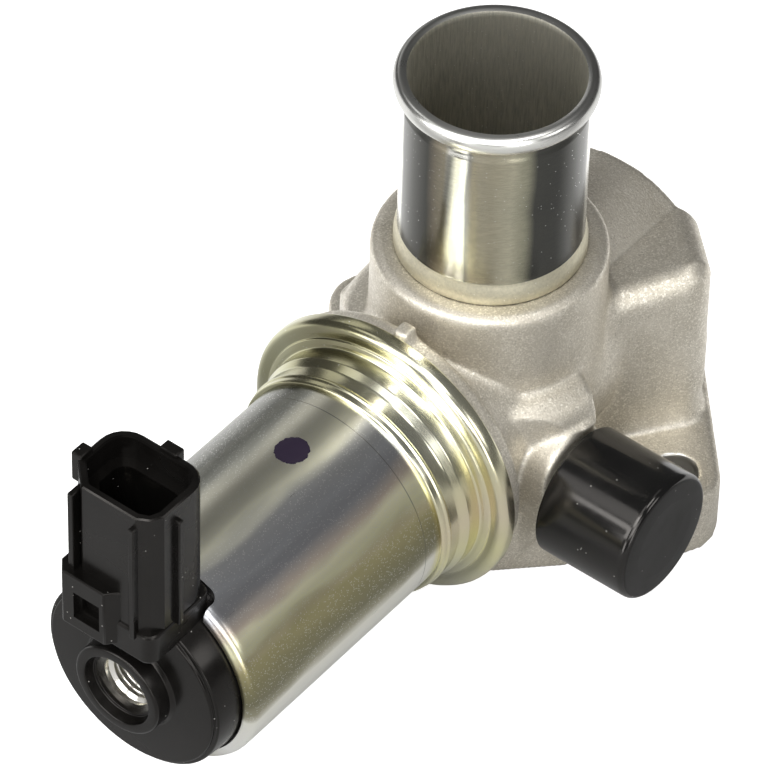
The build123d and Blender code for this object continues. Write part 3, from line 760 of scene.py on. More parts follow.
@dataclass(frozen=True)
class CanFinish:
    """Passivated can: bands of colour, partly its plating's hue and partly painted reflections of a studio,
    specks and an ink dot.
    """

    name: str = "can_zinc"
    # Colours by degrees round the can: partly its plating's hue, partly painted reflections.
    bands: Stops = (
        (-180, (0.62, 0.60, 0.50)), (-100, (0.50, 0.50, 0.46)), (-62, (0.40, 0.39, 0.32)),
        (-47, (0.12, 0.12, 0.10)), (-32, (0.12, 0.12, 0.10)), (-25, (0.38, 0.38, 0.33)),
        (-18, (0.33, 0.33, 0.29)), (-10, (0.60, 0.58, 0.48)), (0, (0.80, 0.78, 0.64)),
        (8, (1.0, 0.98, 0.78)), (16, 0.38), (28, (0.50, 0.51, 0.53)), (36, (0.42, 0.42, 0.44)),
        (44, (0.62, 0.53, 0.44)), (49, (1.0, 0.96, 0.68)), (55, (1.0, 0.97, 0.65)),
        (61, (0.60, 0.54, 0.34)), (66, (0.41, 0.37, 0.20)), (76, (0.28, 0.26, 0.145)),
        (86, (0.23, 0.22, 0.14)), (92, (0.40, 0.38, 0.28)), (97, (0.95, 0.94, 0.85)),
        (125, (1.0, 1.0, 0.97)), (150, (0.60, 0.58, 0.48)), (180, (0.62, 0.60, 0.50)),
    )
    band_wander: float = 0.022
    patch_scale: float = 95.0
    patch_stretch: Triple = (1.0, 0.35, 1.0)
    speck_scale: float = 4200.0
    speck_size: float = 0.34
    speck_share: float = 0.34
    speck_tone: float = 0.42
    speck_colour: Colour = (0.9, 0.9, 0.86)
    roughness: float = 0.25
    roughness_spread: float = 0.08
    grain_scale: float = 2600.0
    grain_share: float = 0.6
    line_scale: float = 1600.0
    line_stretch: Triple = (1.0, 0.03, 1.0)
    relief_bump: float = 0.5
    relief_height: float = 0.006
    scribe_y: float = -43.6
    scribe_half: float = 0.07
    scribe_tone: float = 0.6
    scribe_colour: Colour = (0.16, 0.15, 0.12)
    ink: Colour = (0.012, 0.005, 0.020)
    ink_roughness: float = 0.2
    ink_middle: Point = (0.2, -52.0)
    ink_half: Point = (2.3, 2.5)
    ink_ragged_scale: float = 1400.0
    ink_ragged: float = 0.5
    ink_least: float = 0.75
    ink_foot: float = 32.0

    def build(self, effects: Effects) -> Material:
        """Builds the material.

        Args:
            effects: the shared groups.

        Returns:
            The material.
        """
        shader = Shader(self.name)
        sheet = shader.sheet
        place = sheet.object_place()
        x, y, z = sheet.split_place()
        stretched = sheet.object_place(self.patch_stretch)
        patches = shader.use(effects.blotches, stretched, Scale=self.patch_scale)["Amount"]
        # The bands are partly the plating's hue and partly painted reflections, fixed to the can.
        tone = shader.bands(Axis.SOLENOID, self.bands, sheet.swing(patches, self.band_wander))
        specks = shader.use(
            effects.specks, place, Scale=self.speck_scale, Size=self.speck_size, Share=self.speck_share
        )["Mask"]
        tone = sheet.mix(specks, tone, sheet.mix(self.speck_tone, tone, self.speck_colour))
        tone = sheet.mix(self.scribe_mask(sheet, y), tone, self.scribe_colour)
        ink = self.ink_mask(sheet, x, y, z)
        grain = shader.use(effects.grain, place, Scale=self.grain_scale)["Height"]
        lines = shader.use(effects.lines, sheet.object_place(self.line_stretch), Scale=self.line_scale)
        rough = sheet.scaled(lines["Height"], self.roughness_spread, self.roughness)
        shader.set(
            Base_Color=sheet.mix(ink, tone, self.ink), Metallic=sheet.minus(1.0, ink),
            Roughness=sheet.plus(rough, sheet.times(ink, self.ink_roughness)),
        )
        relief = sheet.plus(sheet.times(grain, self.grain_share), lines["Height"])
        shader.bump(relief, self.relief_bump, self.relief_height)
        return shader.material

    def scribe_mask(self, sheet: NodeSheet, y: Socket) -> Socket:
        """Draws the faint line scribed round the can in front of the collar.

        Args:
            sheet: the sheet to draw on.
            y: the place along the can.

        Returns:
            The line's mask.
        """
        off = sheet.math("ABSOLUTE", sheet.minus(y, self.scribe_y * MM))
        return sheet.times(sheet.math("LESS_THAN", off, self.scribe_half * MM), self.scribe_tone)

    def ink_mask(self, sheet: NodeSheet, x: Socket, y: Socket, z: Socket) -> Socket:
        """Draws the inspector's ink dot: an oval with a ragged edge, on the top side only.

        Args:
            sheet: the sheet to draw on.
            x: the place across the can.
            y: the place along the can.
            z: the height.

        Returns:
            The dot's mask.
        """
        noise = sheet.add("TexNoise", Scale=self.ink_ragged_scale, Detail=2.0, Vector=sheet.object_place())
        edge = sheet.scaled(noise.outputs["Fac"], self.ink_ragged, self.ink_least)
        across, along = (
            sheet.math("DIVIDE", sheet.minus(value, middle * MM), half * MM)
            for value, middle, half in zip((x, y), self.ink_middle, self.ink_half)
        )
        far = sheet.plus(sheet.times(across, across), sheet.times(along, along))
        upper = sheet.math("GREATER_THAN", z, self.ink_foot * MM)
        return sheet.times(sheet.math("LESS_THAN", far, edge), upper)


# Bands of colour round the tube, its bead and the collar. Like the can's, most of them stand in for
# what a studio mirrors in the metal. They are fixed to the piece and show under any light.
TUBE_BANDS: Stops = (
    (-180, 0.60), (-150, 0.30), (-125, 0.80), (-100, 0.40), (-72, 0.80), (-56, 1.0), (-38, 1.0),
    (-34, 0.11), (-20, 0.09), (-7, 0.12), (-1, (0.34, 0.30, 0.25)), (6, (0.52, 0.47, 0.38)), (9, 1.0),
    (19, 1.0), (21, 0.35), (24, (0.56, 0.52, 0.43)), (36, (0.54, 0.50, 0.40)), (48, (0.66, 0.63, 0.51)),
    (57, (0.46, 0.45, 0.36)), (63, 0.10), (80, 0.08), (104, 0.10), (110, 0.16), (114, 1.0), (129, 1.0),
    (136, 0.35), (150, 0.50), (180, 0.60),
)
BEAD_BANDS: Stops = (
    (-180, 0.55), (-60, 0.40), (-25, 0.60), (10, 1.0), (60, 1.0), (90, 0.55), (130, 0.38), (180, 0.55),
)
COLLAR_BANDS: Stops = (
    (-180, (0.80, 0.80, 0.72)), (-110, 0.55), (-80, (0.42, 0.42, 0.34)), (-55, (0.50, 0.50, 0.42)),
    (-32, (0.34, 0.33, 0.28)), (-14, (0.46, 0.45, 0.36)), (8, (1.0, 1.0, 0.96)), (42, 1.0),
    (62, (0.80, 0.78, 0.68)), (84, (0.90, 0.82, 0.76)), (102, (0.95, 0.93, 0.72)), (140, 0.7),
    (180, (0.80, 0.80, 0.72)),
)

# Every finish of the valve. A plated one gives name, base, second, roughness and its spread, the
# stretch of its lines and their scale; a moulded one gives name, base, second and roughness.
RECIPES = (
    CastFinish(),
    CanFinish(),
    PlatedFinish("zinc_tube", (0.95, 0.94, 0.86), (0.88, 0.88, 0.82), 0.17, 0.08, (1, 1, 6), 700.0,
                 line_tone=0.25, gloss_about="Z", gloss_stretch=0.6, band_stops=TUBE_BANDS),
    PlatedFinish("tube_bead", (0.95, 0.94, 0.90), (0.90, 0.90, 0.85), 0.24, 0.10, (1, 1, 6), 500.0,
                 speck_share=0.05, band_stops=BEAD_BANDS),
    PlatedFinish("tube_foot", (0.70, 0.65, 0.50), (0.60, 0.57, 0.44), 0.42, 0.14, (1, 1, 1), 2200.0,
                 line_height=0.02, line_tone=0.2),
    PlatedFinish("tube_bore", (0.56, 0.54, 0.46), (0.62, 0.60, 0.52), 0.42, 0.20, (1, 1, 0.09), 3200.0,
                 line_tone=0.4),
    PlatedFinish("yellow_zinc", (0.93, 0.90, 0.68), (0.86, 0.86, 0.74), 0.17, 0.10, (1, 6, 1), 500.0,
                 bands_about=Axis.SOLENOID, band_stops=COLLAR_BANDS),
    PlatedFinish("machined_aluminium", (0.80, 0.78, 0.73), (0.72, 0.70, 0.66), 0.28, 0.12, (1, 1, 6), 500.0),
    PlatedFinish("bare_iron", (0.48, 0.48, 0.47), 0.40, 0.30, 0.12, (1, 6, 1), 600.0),
    # Iron made far lighter than bare_iron: a painted highlight on the thread in the hub.
    PlatedFinish("iron_with_painted_highlight", (0.95, 0.93, 0.86), (0.88, 0.86, 0.80), 0.16, 0.08, (1, 6, 1), 600.0),
    PlatedFinish("plated_iron", (0.60, 0.59, 0.56), (0.54, 0.53, 0.50), 0.18, 0.10, (1, 0.05, 1), 900.0),
    PlatedFinish("stainless", (0.62, 0.61, 0.59), (0.55, 0.54, 0.53), 0.22, 0.12, (1, 6, 1), 700.0),
    PlatedFinish("spring_steel", (0.42, 0.42, 0.44), (0.34, 0.34, 0.36), 0.28, 0.12, (1, 1, 1), 800.0),
    PlatedFinish("bronze", (0.50, 0.33, 0.15), (0.42, 0.28, 0.13), 0.42, 0.16, (1, 1, 1), 1200.0),
    PlatedFinish("brass_seat", (0.70, 0.52, 0.22), (0.62, 0.45, 0.20), 0.24, 0.10, (1, 6, 1), 600.0),
    PlatedFinish("tin_brass", (0.66, 0.62, 0.50), (0.58, 0.55, 0.46), 0.28, 0.12, (1, 1, 0.05), 900.0),
    PlatedFinish("copper_wire", (0.58, 0.20, 0.07), (0.46, 0.15, 0.05), 0.30, 0.10, (0.02, 1, 0.02), 2600.0,
                 line_height=0.05),
    MouldedFinish("black_plastic", (0.003, 0.0027, 0.0024), (0.006, 0.0055, 0.005), 0.20,
                  dust_share=0.09, grain_height=0.005, specular=0.30),
    MouldedFinish("black_rubber", 0.004, 0.006, 0.09, dust_share=0.14, grain_height=0.002),
    MouldedFinish("matt_rubber", 0.004, (0.006, 0.006, 0.0055), 0.36,
                  dust_share=0.08, grain_height=0.006, specular=0.30),
    MouldedFinish("seal_rubber", 0.012, 0.02, 0.5),
    MouldedFinish("natural_plastic", (0.60, 0.56, 0.44), (0.52, 0.49, 0.40), 0.45, dust_share=0.02),
    MouldedFinish("amber_tape", (0.42, 0.20, 0.03), (0.34, 0.15, 0.02), 0.22, dust_share=0.01),
    MouldedFinish("grey_plastic", (0.08, 0.08, 0.085), 0.11, 0.42, dust_share=0.02),
)


class Finishes:
    """Every finish of the valve, built once and looked up by its name."""

    def __init__(self, effects: Effects) -> None:
        """Builds all finishes with the shared groups."""
        self.materials = {recipe.name: recipe.build(effects) for recipe in RECIPES}

    def dress(self, piece: Piece, name: str) -> None:
        """Gives a whole piece one finish, by its name."""
        if not piece.material_slots:
            piece.data.materials.append(None)
        for slot in piece.material_slots:
            slot.material = self.materials[name]


# The pieces


@dataclass
class Piecework:
    """What every sub-assembly shares: the finishes, and how a new piece is entered."""

    finishes: Finishes

    def build(self) -> None:
        """Builds the sub-assembly, each kind in its own way."""
        raise NotImplementedError

    def settle(self, piece: Piece, body: str, finish: str, slot: str, *nodes: str) -> None:
        """Dresses a new piece and enters it in the frame.

        Args:
            piece: the new object.
            body: the CAD body it rides on.
            finish: the finish it is given; an empty name leaves its materials alone.
            slot: the record's material slot; not used.
            nodes: the CAD nodes it stands for.
        """
        if finish:
            self.finishes.dress(piece, finish)
        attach(piece, body)
        if nodes:
            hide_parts(*nodes)
        log.info("piece %s on %s, %d faces", piece.name, body, len(piece.data.polygons))

    def paint_faces(self, piece: Piece, finishes: list[str], choose: Callable[[Vector], int]) -> None:
        """Gives the faces of a piece one of several finishes.

        Args:
            piece: the object to dress.
            finishes: the finishes' names.
            choose: a function from a face's centre to the place of its finish in the list.
        """
        piece.data.materials.clear()
        for name in finishes:
            piece.data.materials.append(self.finishes.materials[name])
        for face in piece.data.polygons:
            face.material_index = choose(face.center)


@dataclass
class Casting(Piecework):
    """The cast body, with the soft edges and inner corners that sand casting leaves."""

    voxel: float = 0.5
    smooth_factor: float = 0.5
    smooth_steps: int = 4
    pocket_steps: int = 40
    pocket_slant: float = 0.725
    # Over each bolt pocket and at its foot: ranges of x, y, z and of the way off its slanted wall
    soft_zones: tuple[tuple[Range, ...], ...] = (
        ((11.0, 99.0), (-8.0, 14.0), (24.0, 40.0), (11.5, 99.0)),
        ((12.0, 26.0), (-6.0, 16.0), (10.2, 15.0), (9.0, 19.0)),
    )
    bolt_x: float = 26.2
    drilled_r: float = 3.55
    milled_top: float = 0.2

    def build(self) -> None:
        """Builds the casting from a merged copy of the CAD body."""
        piece = merged_copy("valve_body", "body_casting")
        finish_with(piece, "REMESH", mode="VOXEL", voxel_size=self.voxel * MM, use_smooth_shade=True)
        finish_with(piece, "SMOOTH", factor=self.smooth_factor, iterations=self.smooth_steps)
        self.round_pocket_edges(piece)

        def choose(place: Vector) -> int:
            """Tells the drilled holes and the milled foot from the cast skin."""
            drilled = math.hypot(abs(place.x) / MM - self.bolt_x, place.y / MM) < self.drilled_r
            return int(drilled or place.z < self.milled_top * MM)

        self.paint_faces(piece, ["cast_aluminium", "machined_aluminium"], choose)
        self.settle(piece, "housing", "", "cast_aluminium", "valve_body")

    def round_pocket_edges(self, piece: Piece) -> None:
        """Softens the long edges round the bolt pockets, which the foundry rounds most.

        Args:
            piece: the casting, with its skin already remeshed.
        """
        make_active(piece)
        bpy.ops.object.mode_set(mode="EDIT")
        bpy.ops.mesh.select_all(action="DESELECT")
        bpy.ops.object.mode_set(mode="OBJECT")
        for vertex in piece.data.vertices:
            x, y, z = abs(vertex.co.x) / MM, vertex.co.y / MM, vertex.co.z / MM
            spots = (x, y, z, x - self.pocket_slant * y)
            vertex.select = any(
                all(low < spot < high for spot, (low, high) in zip(spots, zone)) for zone in self.soft_zones
            )
        bpy.ops.object.mode_set(mode="EDIT")
        bpy.ops.mesh.vertices_smooth(factor=self.smooth_factor, repeat=self.pocket_steps)
        bpy.ops.object.mode_set(mode="OBJECT")


@dataclass
class HoseTube(Piecework):
    """The plated hose tube with its rolled bead, narrow neck and formed foot."""

    foot_z: float = 34.0
    boss_z: float = 45.5
    top_z: float = 75.9
    outer_r: float = 12.7
    bore_r: float = 11.85
    bead_r: float = 13.8
    bead_half: float = 1.4
    bead_steps: int = 16
    bead_fullness: float = 0.8
    # (height, radius) over the boss and the outside, under the bead and the outside, and the mouth
    foot: tuple[Point, ...] = (
        (0.0, 0.0), (0.05, 0.38), (0.3, 0.5), (1.4, 0.48), (2.2, 0.36), (2.9, 0.14), (3.4, 0.0), (3.9, 0.0),
    )
    neck: tuple[Point, ...] = (
        (-2.2, 0.0), (-1.8, 0.0), (-1.5, -0.18), (-1.0, -0.2), (-0.85, 0.02), (-0.45, 0.02), (-0.3, -0.25),
        (-0.1, -0.25),
    )
    mouth: tuple[Point, ...] = ((-0.02, 0.55), (-0.15, 0.16), (-0.45, 0.04), (-1.1, 0.0))
    bore_reach: float = 0.12
    bead_reach: float = 0.2
    foot_reach: float = 3.2

    @property
    def bead_foot(self) -> float:
        """The height of the bead's lower edge."""
        return self.top_z - 2 * self.bead_half

    def outline(self) -> list[Point]:
        """Gives the tube's cut outline as (height, radius) pairs."""
        middle, bulge = self.top_z - self.bead_half, self.bead_r - self.outer_r
        angles = [math.radians(-90 + 180 * step / self.bead_steps) for step in range(self.bead_steps + 1)]
        bead = [
            (self.bead_half * math.sin(angle), bulge * math.cos(angle) ** self.bead_fullness)
            for angle in angles
        ]
        return [
            (self.foot_z, self.bore_r),
            (self.foot_z, self.outer_r),
            *shifted(self.foot, self.boss_z, self.outer_r),
            *shifted(self.neck, self.bead_foot, self.outer_r),
            *shifted(bead, middle, self.outer_r),
            *shifted(self.mouth, self.top_z, self.bore_r),
        ]

    def build(self) -> None:
        """Builds the tube and gives its bore, foot, bead and outside their own finishes."""
        piece = turn("hose_tube", Axis.TUBE, self.outline())

        def choose(place: Vector) -> int:
            """Tells outside, bore, foot and bead apart by radius and height."""
            height = place.z / MM
            if math.hypot(place.x, place.y - Axis.TUBE.origin.y) / MM < self.bore_r + self.bore_reach:
                return 1
            if height > self.bead_foot - self.bead_reach:
                return 3
            return 2 if height < self.boss_z + self.foot_reach else 0

        self.paint_faces(piece, ["zinc_tube", "tube_bore", "tube_foot", "tube_bead"], choose)
        self.settle(piece, "housing", "", "zinc_tube", "inlet_tube")


@dataclass
class Solenoid(Piecework):
    """The collar, the can and the thread that shows in the solenoid's hub."""

    # (along, radius, rounding) corners
    collar: tuple[Triple, ...] = (
        (-40.7, 16.6, 0), (-40.7, 17.3, 0.35), (-39.75, 17.3, 0.2), (-39.5, 17.5, 0.12),
        (-39.25, 17.5, 0.12), (-39.0, 17.3, 0.2), (-37.1, 17.3, 1.2), (-35.9, 17.9, 0.7),
        (-33.5, 17.9, 0.3), (-33.4, 18.5, 0.25), (-33.2, 19.15, 0.2), (-32.95, 19.25, 0.1),
        (-33.0, 20.0, 0.4), (-33.0, 21.6, 1.1), (-30.4, 21.6, 0.35), (-30.4, 20.5, 0),
        (-32.0, 20.5, 0), (-32.0, 16.6, 0),
    )
    can: tuple[Triple, ...] = (
        (-32.0, 16.6, 0), (-78.3, 16.6, 0), (-80.3, 16.6, 1.45), (-80.3, 15.0, 0), (-79.1, 15.0, 0),
        (-79.1, 15.4, 0), (-32.0, 15.4, 0),
    )
    slot: tuple[Triple, ...] = ((-8.3, -84.0, 0), (8.3, -84.0, 0), (8.3, -77.0, 1.4), (-8.3, -77.0, 1.4))
    slot_foot: float = 22.0
    slot_top: float = 60.0
    thread_r: float = 4.03
    thread_depth: float = 0.62
    thread_pitch: float = 0.8
    thread_width: float = 0.96
    thread_front: float = -85.45
    thread_turns: int = 4
    thread_steps: int = 72

    def build(self) -> None:
        """Builds the collar, the can with its slot for the socket's neck, and the thread."""
        piece = turn("collar", Axis.SOLENOID, rounded(self.collar, steps=4))
        self.settle(piece, "housing", "yellow_zinc", "yellow_zinc", "solenoid_collar")
        piece = turn("can", Axis.SOLENOID, rounded(self.can, steps=6))
        slot_tool = prism("slot_tool", rounded(self.slot, steps=5), self.slot_foot, self.slot_top)
        combine(piece, slot_tool, "DIFFERENCE")
        shade(piece, sharp_deg=35.0)
        self.settle(piece, "housing", "can_zinc", "can_zinc", "solenoid_can")
        self.build_thread()

    def build_thread(self) -> None:
        """Winds the helical thread on the wall of the core's front bore."""
        pitch = self.thread_pitch
        corners = ((0.0, 0.0), (pitch / 2, -self.thread_depth), (pitch * self.thread_width, 0.0), (0.0, 0.0))
        profile = shifted(corners, self.thread_front, self.thread_r)
        piece = draw_chain("core_thread", [Axis.SOLENOID.place(along, radius) for along, radius in profile])
        bpy.ops.mesh.remove_doubles(threshold=MERGE_DISTANCE)
        bpy.ops.transform.translate(value=-Axis.SOLENOID.origin)
        bpy.ops.object.mode_set(mode="OBJECT")
        finish_with(
            piece, "SCREW", axis="Y", steps=self.thread_steps, render_steps=self.thread_steps,
            iterations=self.thread_turns, screw_offset=pitch * MM, use_merge_vertices=False,
        )
        make_active(piece)
        bpy.ops.object.mode_set(mode="EDIT")
        bpy.ops.mesh.select_all(action="SELECT")
        bpy.ops.transform.translate(value=Axis.SOLENOID.origin)
        bpy.ops.mesh.select_mode(type="EDGE")
        bpy.ops.mesh.select_all(action="DESELECT")
        bpy.ops.mesh.select_non_manifold()
        bpy.ops.mesh.edge_face_add()
        close_mesh(piece, sharp_deg=30.0)
        # Finished in the lighter iron, a painted highlight; its slot stays bare iron.
        self.settle(piece, "housing", "iron_with_painted_highlight", "bare_iron")


@dataclass
class EndCap(Piecework):
    """The black moulding that closes the can: stepped face, hub and two-pin socket."""

    # (along, radius, rounding) corners of the plug, the stepped face and the hub with its recess
    disc: tuple[Triple, ...] = (
        (-74.0, 6.05, 0), (-74.0, 15.3, 0.3), (-74.75, 15.3, 0), (-74.75, 13.8, 0), (-76.65, 13.8, 0),
        (-76.65, 15.3, 0), (-79.0, 15.3, 0), (-79.0, 14.7, 0), (-80.3, 14.7, 0), (-84.5, 14.35, 0.3),
        (-84.5, 13.75, 0.12), (-85.0, 13.7, 0.25), (-85.0, 7.5, 0.3), (-85.5, 7.0, 0.3), (-88.1, 7.0, 0.45),
        (-88.1, 5.45, 0.2), (-86.6, 5.1, 0.15), (-86.6, 4.7, 0.12), (-85.6, 4.7, 0), (-85.6, 6.05, 0),
    )
    disc_steps: int = 144
    socket_half: float = 7.6
    socket_front: float = -89.8
    socket_back: float = -77.7
    socket_foot: float = 37.5
    socket_top: float = 59.4
    back_rounds: Point = (3.6, 4.0)
    front_round: float = 0.6
    bevel: float = 3.6
    facet: float = 2.6
    dent: float = 0.95
    bevel_shrink: float = 0.6
    dent_shrink: float = 0.35
    crown: float = 0.2
    wall: float = 1.1
    lead_in: float = 0.18
    tool_overlap: float = 1.0
    step_z: float = 55.6
    floor_z: float = 43.0
    hollow_plan: tuple[Triple, ...] = (
        (5.2, -87.2, 1.3), (5.2, -80.3, 1.7), (-5.0, -80.3, 1.9), (-5.0, -85.0, 0.5), (-3.0, -87.2, 0.5),
    )
    base_plan: tuple[Triple, ...] = (
        (7.8, -90.2, 1.8), (7.8, -77.7, 1.8), (-7.8, -77.7, 1.8), (-7.8, -90.2, 1.8),
    )
    base_foot: float = 33.6
    base_top: float = 38.5
    base_edge: float = 0.35
    latch_plan: tuple[Point, ...] = (
        (-7.4, -88.1), (-7.4, -89.8), (-6.0, -91.5), (1.0, -91.5), (2.4, -89.8), (2.4, -88.1),
    )
    latch_foot: float = 34.4
    latch_top: float = 43.9
    latch_edge: float = 0.22
    # Name, lowest corner, highest corner and edge radius
    ribs: tuple[tuple[str, Triple, Triple, float], ...] = (
        ("left_frame", (-5.65, -90.6, 43.0), (-4.75, -87.6, 57.7), 0.16),
        ("right_frame", (4.35, -90.6, 37.5), (5.25, -89.0, 57.7), 0.16),
        ("side_rib", (6.8, -85.15, 37.9), (8.4, -84.25, 57.0), 0.2),
        ("back_lug", (-0.4, -78.6, 55.1), (2.4, -76.8, 60.1), 0.25),
        ("left_lug", (-8.5, -86.4, 55.1), (-6.7, -84.0, 60.1), 0.25),
    )
    windows: tuple[tuple[str, Triple, Triple], ...] = (
        ("window", (-4.1, -92.8, 36.4), (0.2, -90.3, 41.0)),
        ("window_deep", (-3.6, -92.8, 37.0), (-0.3, -89.5, 39.6)),
    )

    def build(self) -> None:
        """Moulds the disc and the socket as one piece, then cuts its hollows."""
        piece = turn("end_cap_moulding", Axis.SOLENOID, rounded(self.disc, steps=4), self.disc_steps)
        for part in self.socket_parts():
            combine(piece, part, "UNION")
        for tool in self.hollows():
            combine(piece, tool, "DIFFERENCE")
        shade(piece, sharp_deg=25.0)
        self.settle(piece, "housing", "black_plastic", "black_plastic", "end_cap")

    def shell_outline(self, inset: float) -> list[Point]:
        """Gives the socket's plan, with its bevelled front left corner and faceted front right one.

        Args:
            inset: how far it is drawn inwards, in millimetres.

        Returns:
            The outline.
        """
        right, left = self.socket_half - inset, -self.socket_half + inset
        front, back = self.socket_front + inset, self.socket_back - inset
        bevel, facet = self.bevel - self.bevel_shrink * inset, self.facet - self.bevel_shrink * inset
        dent = self.dent - self.dent_shrink * inset
        right_round, left_round = self.back_rounds
        return rounded((
            (right, back, right_round - inset), (left, back, left_round - inset),
            (left, front + bevel, self.front_round), (left + bevel, front, self.front_round),
            (right - facet, front, 0), (right - dent, front + dent, 0), (right, front + facet, 0),
        ), steps=6)

    def socket_parts(self) -> list[Piece]:
        """Makes the solid parts of the socket, each but the shell with the small radii of its mould."""
        shell = prism("shell", self.shell_outline(0.0), self.socket_foot, self.socket_top, self.crown)
        base = prism("base", rounded(self.base_plan, steps=6), self.base_foot, self.base_top)
        latch = prism("latch", self.latch_plan, self.latch_foot, self.latch_top)
        soft = [(base, self.base_edge), (latch, self.latch_edge)]
        soft += [(box(name, low, high), edge) for name, low, high, edge in self.ribs]
        for part, edge in soft:
            bevel_edges(part, edge)
        return [shell, *(part for part, edge in soft)]

    def hollows(self) -> list[Piece]:
        """Makes what is cut out: the wide hollow, its lead-in, the narrow hollow and the windows."""
        over = self.socket_top + 2 * self.tool_overlap
        mouth = self.shell_outline(self.wall - self.lead_in)
        narrow = rounded(self.hollow_plan, steps=4)
        return [
            prism("wide", self.shell_outline(self.wall), self.step_z, over),
            prism("lead_in", mouth, self.socket_top - self.crown, over),
            prism("narrow", narrow, self.floor_z, self.step_z + self.tool_overlap),
            *(box(*window) for window in self.windows),
        ]


@dataclass
class PortCap(Piecework):
    """The glossy rubber cap on the side spout, its end face slightly domed."""

    # (along, radius, rounding) corners
    section: tuple[Triple, ...] = (
        (21.15, 6.5, 0), (21.15, 9.5, 0.3), (21.8, 9.5, 0), (34.4, 9.5, 0), (35.85, 9.48, 0.95),
        (36.0, 6.0, 2.0), (36.05, 0.0, 0), (33.45, 0.0, 0), (33.45, 6.5, 0),
    )
    turn_steps: int = 128
    face_x: float = 35.8

    def build(self) -> None:
        """Turns the cap and gives its end face the duller finish."""
        piece = turn("spout_cap", Axis.SPOUT, rounded(self.section, steps=7), self.turn_steps)
        finishes = ["black_rubber", "matt_rubber"]
        self.paint_faces(piece, finishes, lambda place: int(place.x / MM > self.face_x))
        self.settle(piece, "housing", "", "black_rubber", "port_cap")


@dataclass
class InnerWorks(Piecework):
    """The CAD nodes that keep their own shape and only take a finish, and the spring."""

    plan: tuple[tuple[str, tuple[str, ...]], ...] = (
        ("tin_brass", ("terminal_left", "terminal_right")),
        # The fixed core takes the same lighter iron, a painted highlight.
        ("iron_with_painted_highlight", ("fixed_core",)),
        ("stainless", ("adjusting_screw", "guide_tube", "valve_rod", "disc_washer")),
        ("plated_iron", ("front_flux_washer", "pole_plate", "plunger")),
        ("natural_plastic", ("coil_bobbin",)),
        ("copper_wire", ("coil_winding",)),
        ("amber_tape", ("coil_tape",)),
        ("bronze", ("front_bush", "rear_bush")),
        ("grey_plastic", ("valve_disc",)),
        ("spring_steel", ("disc_clip",)),
        ("brass_seat", ("valve_seat",)),
        ("seal_rubber", ("body_seal", "end_cap_seal")),
    )
    travel: float = 3.0

    def build(self) -> None:
        """Gives every kept node its finish and makes the spring."""
        for finish, nodes in self.plan:
            for node in nodes:
                self.finishes.dress(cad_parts[node], finish)
        self.build_spring()

    def build_spring(self) -> None:
        """Copies the return spring and gives the copy a mesh of its own."""
        piece = merged_copy("return_spring", "spring_coils")
        self.settle(piece, "housing", "spring_steel", "spring_steel", "return_spring")
        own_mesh(piece)


# Studio


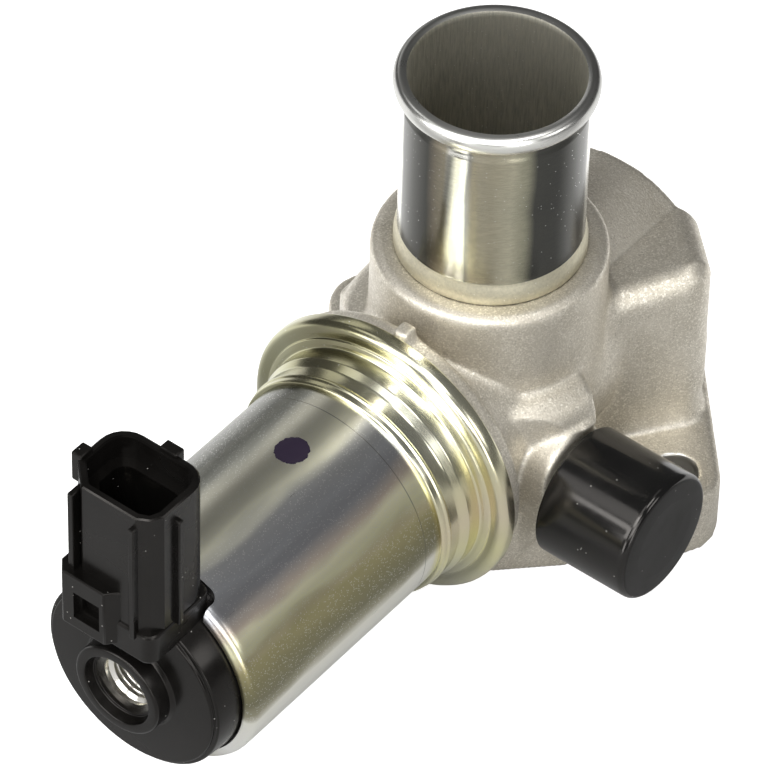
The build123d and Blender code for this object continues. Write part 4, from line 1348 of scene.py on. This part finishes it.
@dataclass
class Studio:
    """Camera, floor, sky and soft lights."""

    eye: Triple = (376.4811, -530.0887, 665.7643)
    right: Triple = (0.78497026, 0.61919647, 0.02043093)
    up: Triple = (-0.45144433, 0.54909951, 0.70334041)
    back: Triple = (0.42428729, -0.56132473, 0.71055953)
    focal_px: float = 6627.355
    image_px: float = 768.0
    sensor: float = 36.0
    clip: Range = (0.01, 20.0)
    floor_half: float = 1.5
    floor_drop: float = 0.00005
    floor_grey: float = 0.45
    floor_white: float = 0.8
    floor_glow: float = 0.72
    floor_rough: float = 0.9
    floor_specular: float = 0.1
    floor_far: Point = (-0.6, 0.8)
    far_start: float = -0.02
    far_width: float = 0.05
    room_grey: float = 0.12
    dome_radius: float = 0.9
    box_size: float = 0.3
    aim: Triple = (0.0, -20.0, 30.0)
    # Degrees from -Y towards +X, degrees above the floor, and watts
    soft_boxes: tuple[Triple, ...] = (
        (26, 52, 1.9), (0, 52, 1.6), (340, 30, 1.5), (40, 30, 1.5), (20, 30, 0.9), (60, 30, 0.6),
        (90, 72, 1.4), (0, 72, 0.5), (0, 8, 1.3), (332, 13, 1.2), (60, 8, 1.0), (100, 30, 0.9),
        (334, 52, 0.5), (283, 52, 0.3), (240, 30, 0.25), (180, 72, 0.15),
    )

    def build(self) -> None:
        """Builds the whole studio."""
        self.build_camera()
        self.build_floor()
        self.build_sky()
        for index, (azimuth, elevation, watts) in enumerate(self.soft_boxes, start=1):
            self.hang_soft_box(f"soft_box_{index}", azimuth, elevation, watts)
        bpy.context.scene.view_settings.view_transform = "Standard"

    def build_camera(self) -> None:
        """Places the camera that was fitted to the photograph."""
        lens = bpy.data.cameras.new("camera")
        lens.sensor_width = self.sensor
        lens.lens = self.focal_px / self.image_px * self.sensor
        lens.clip_start, lens.clip_end = self.clip
        camera = bpy.data.objects.new("camera", lens)
        bpy.context.scene.collection.objects.link(camera)
        turned = Matrix((self.right, self.up, self.back)).transposed().to_4x4()
        camera.matrix_world = Matrix.Translation(Vector(self.eye) * MM) @ turned
        bpy.context.scene.camera = camera

    def build_floor(self) -> None:
        """Lays the pale floor: white to the camera and, behind the valve, to what mirrors it."""
        start_clean()
        bpy.ops.mesh.primitive_plane_add(size=2 * self.floor_half, location=(0, 0, -self.floor_drop))
        floor = bpy.context.object
        floor.name = "floor"
        shader = Shader("floor_white")
        sheet = shader.sheet
        rays = sheet.add("LightPath").outputs
        x, y, _ = sheet.split_place()
        far = sheet.plus(sheet.times(x, self.floor_far[0]), sheet.times(y, self.floor_far[1]))
        behind = sheet.math("DIVIDE", sheet.minus(far, self.far_start), self.far_width, clamp=True)
        mirrored = sheet.math("MAXIMUM", rays["Is Glossy Ray"], rays["Is Transmission Ray"])
        seen = sheet.math("MAXIMUM", rays["Is Camera Ray"], sheet.times(mirrored, behind))
        shader.set(
            Base_Color=sheet.mix(seen, self.floor_grey, self.floor_white),
            Emission_Strength=sheet.times(seen, self.floor_glow), Emission_Color=1.0,
            Roughness=self.floor_rough, Specular_IOR_Level=self.floor_specular,
        )
        floor.data.materials.append(shader.material)

    def build_sky(self) -> None:
        """Sets the sky: white to the camera, a soft grey room to everything else."""
        world = bpy.data.worlds.new("room")
        world.use_nodes = True
        bpy.context.scene.world = world
        sheet = NodeSheet(world.node_tree)
        seen = sheet.add("LightPath").outputs["Is Camera Ray"]
        background = world.node_tree.nodes["Background"].inputs
        sheet.feed(background["Color"], sheet.mix(seen, self.room_grey, 1.0))
        sheet.feed(background["Strength"], 1.0)

    def hang_soft_box(self, name: str, azimuth: float, elevation: float, watts: float) -> None:
        """Hangs one small square light on a dome round the valve, facing it.

        Args:
            name: the light's name.
            azimuth: degrees from -Y towards +X.
            elevation: degrees above the floor.
            watts: its power.
        """
        light = bpy.data.lights.new(name, "AREA")
        light.shape = "SQUARE"
        light.size = self.box_size
        light.energy = watts
        lamp = bpy.data.objects.new(name, light)
        bpy.context.scene.collection.objects.link(lamp)
        turned, raised = math.radians(azimuth), math.radians(elevation)
        flat = math.cos(raised)
        outwards = Vector((math.sin(turned) * flat, -math.cos(turned) * flat, math.sin(raised)))
        place = outwards * self.dome_radius
        towards = Vector(self.aim) * MM - place
        lamp.matrix_world = Matrix.Translation(place) @ towards.to_track_quat("-Z", "Y").to_matrix().to_4x4()


def main() -> None:
    """Builds the studio and every piece."""
    logging.basicConfig(level=logging.INFO, format="%(message)s")
    Studio().build()
    finishes = Finishes(Effects())
    for work in (Casting, HoseTube, Solenoid, EndCap, PortCap, InnerWorks):
        work(finishes).build()


if __name__ == "__main__":
    main()
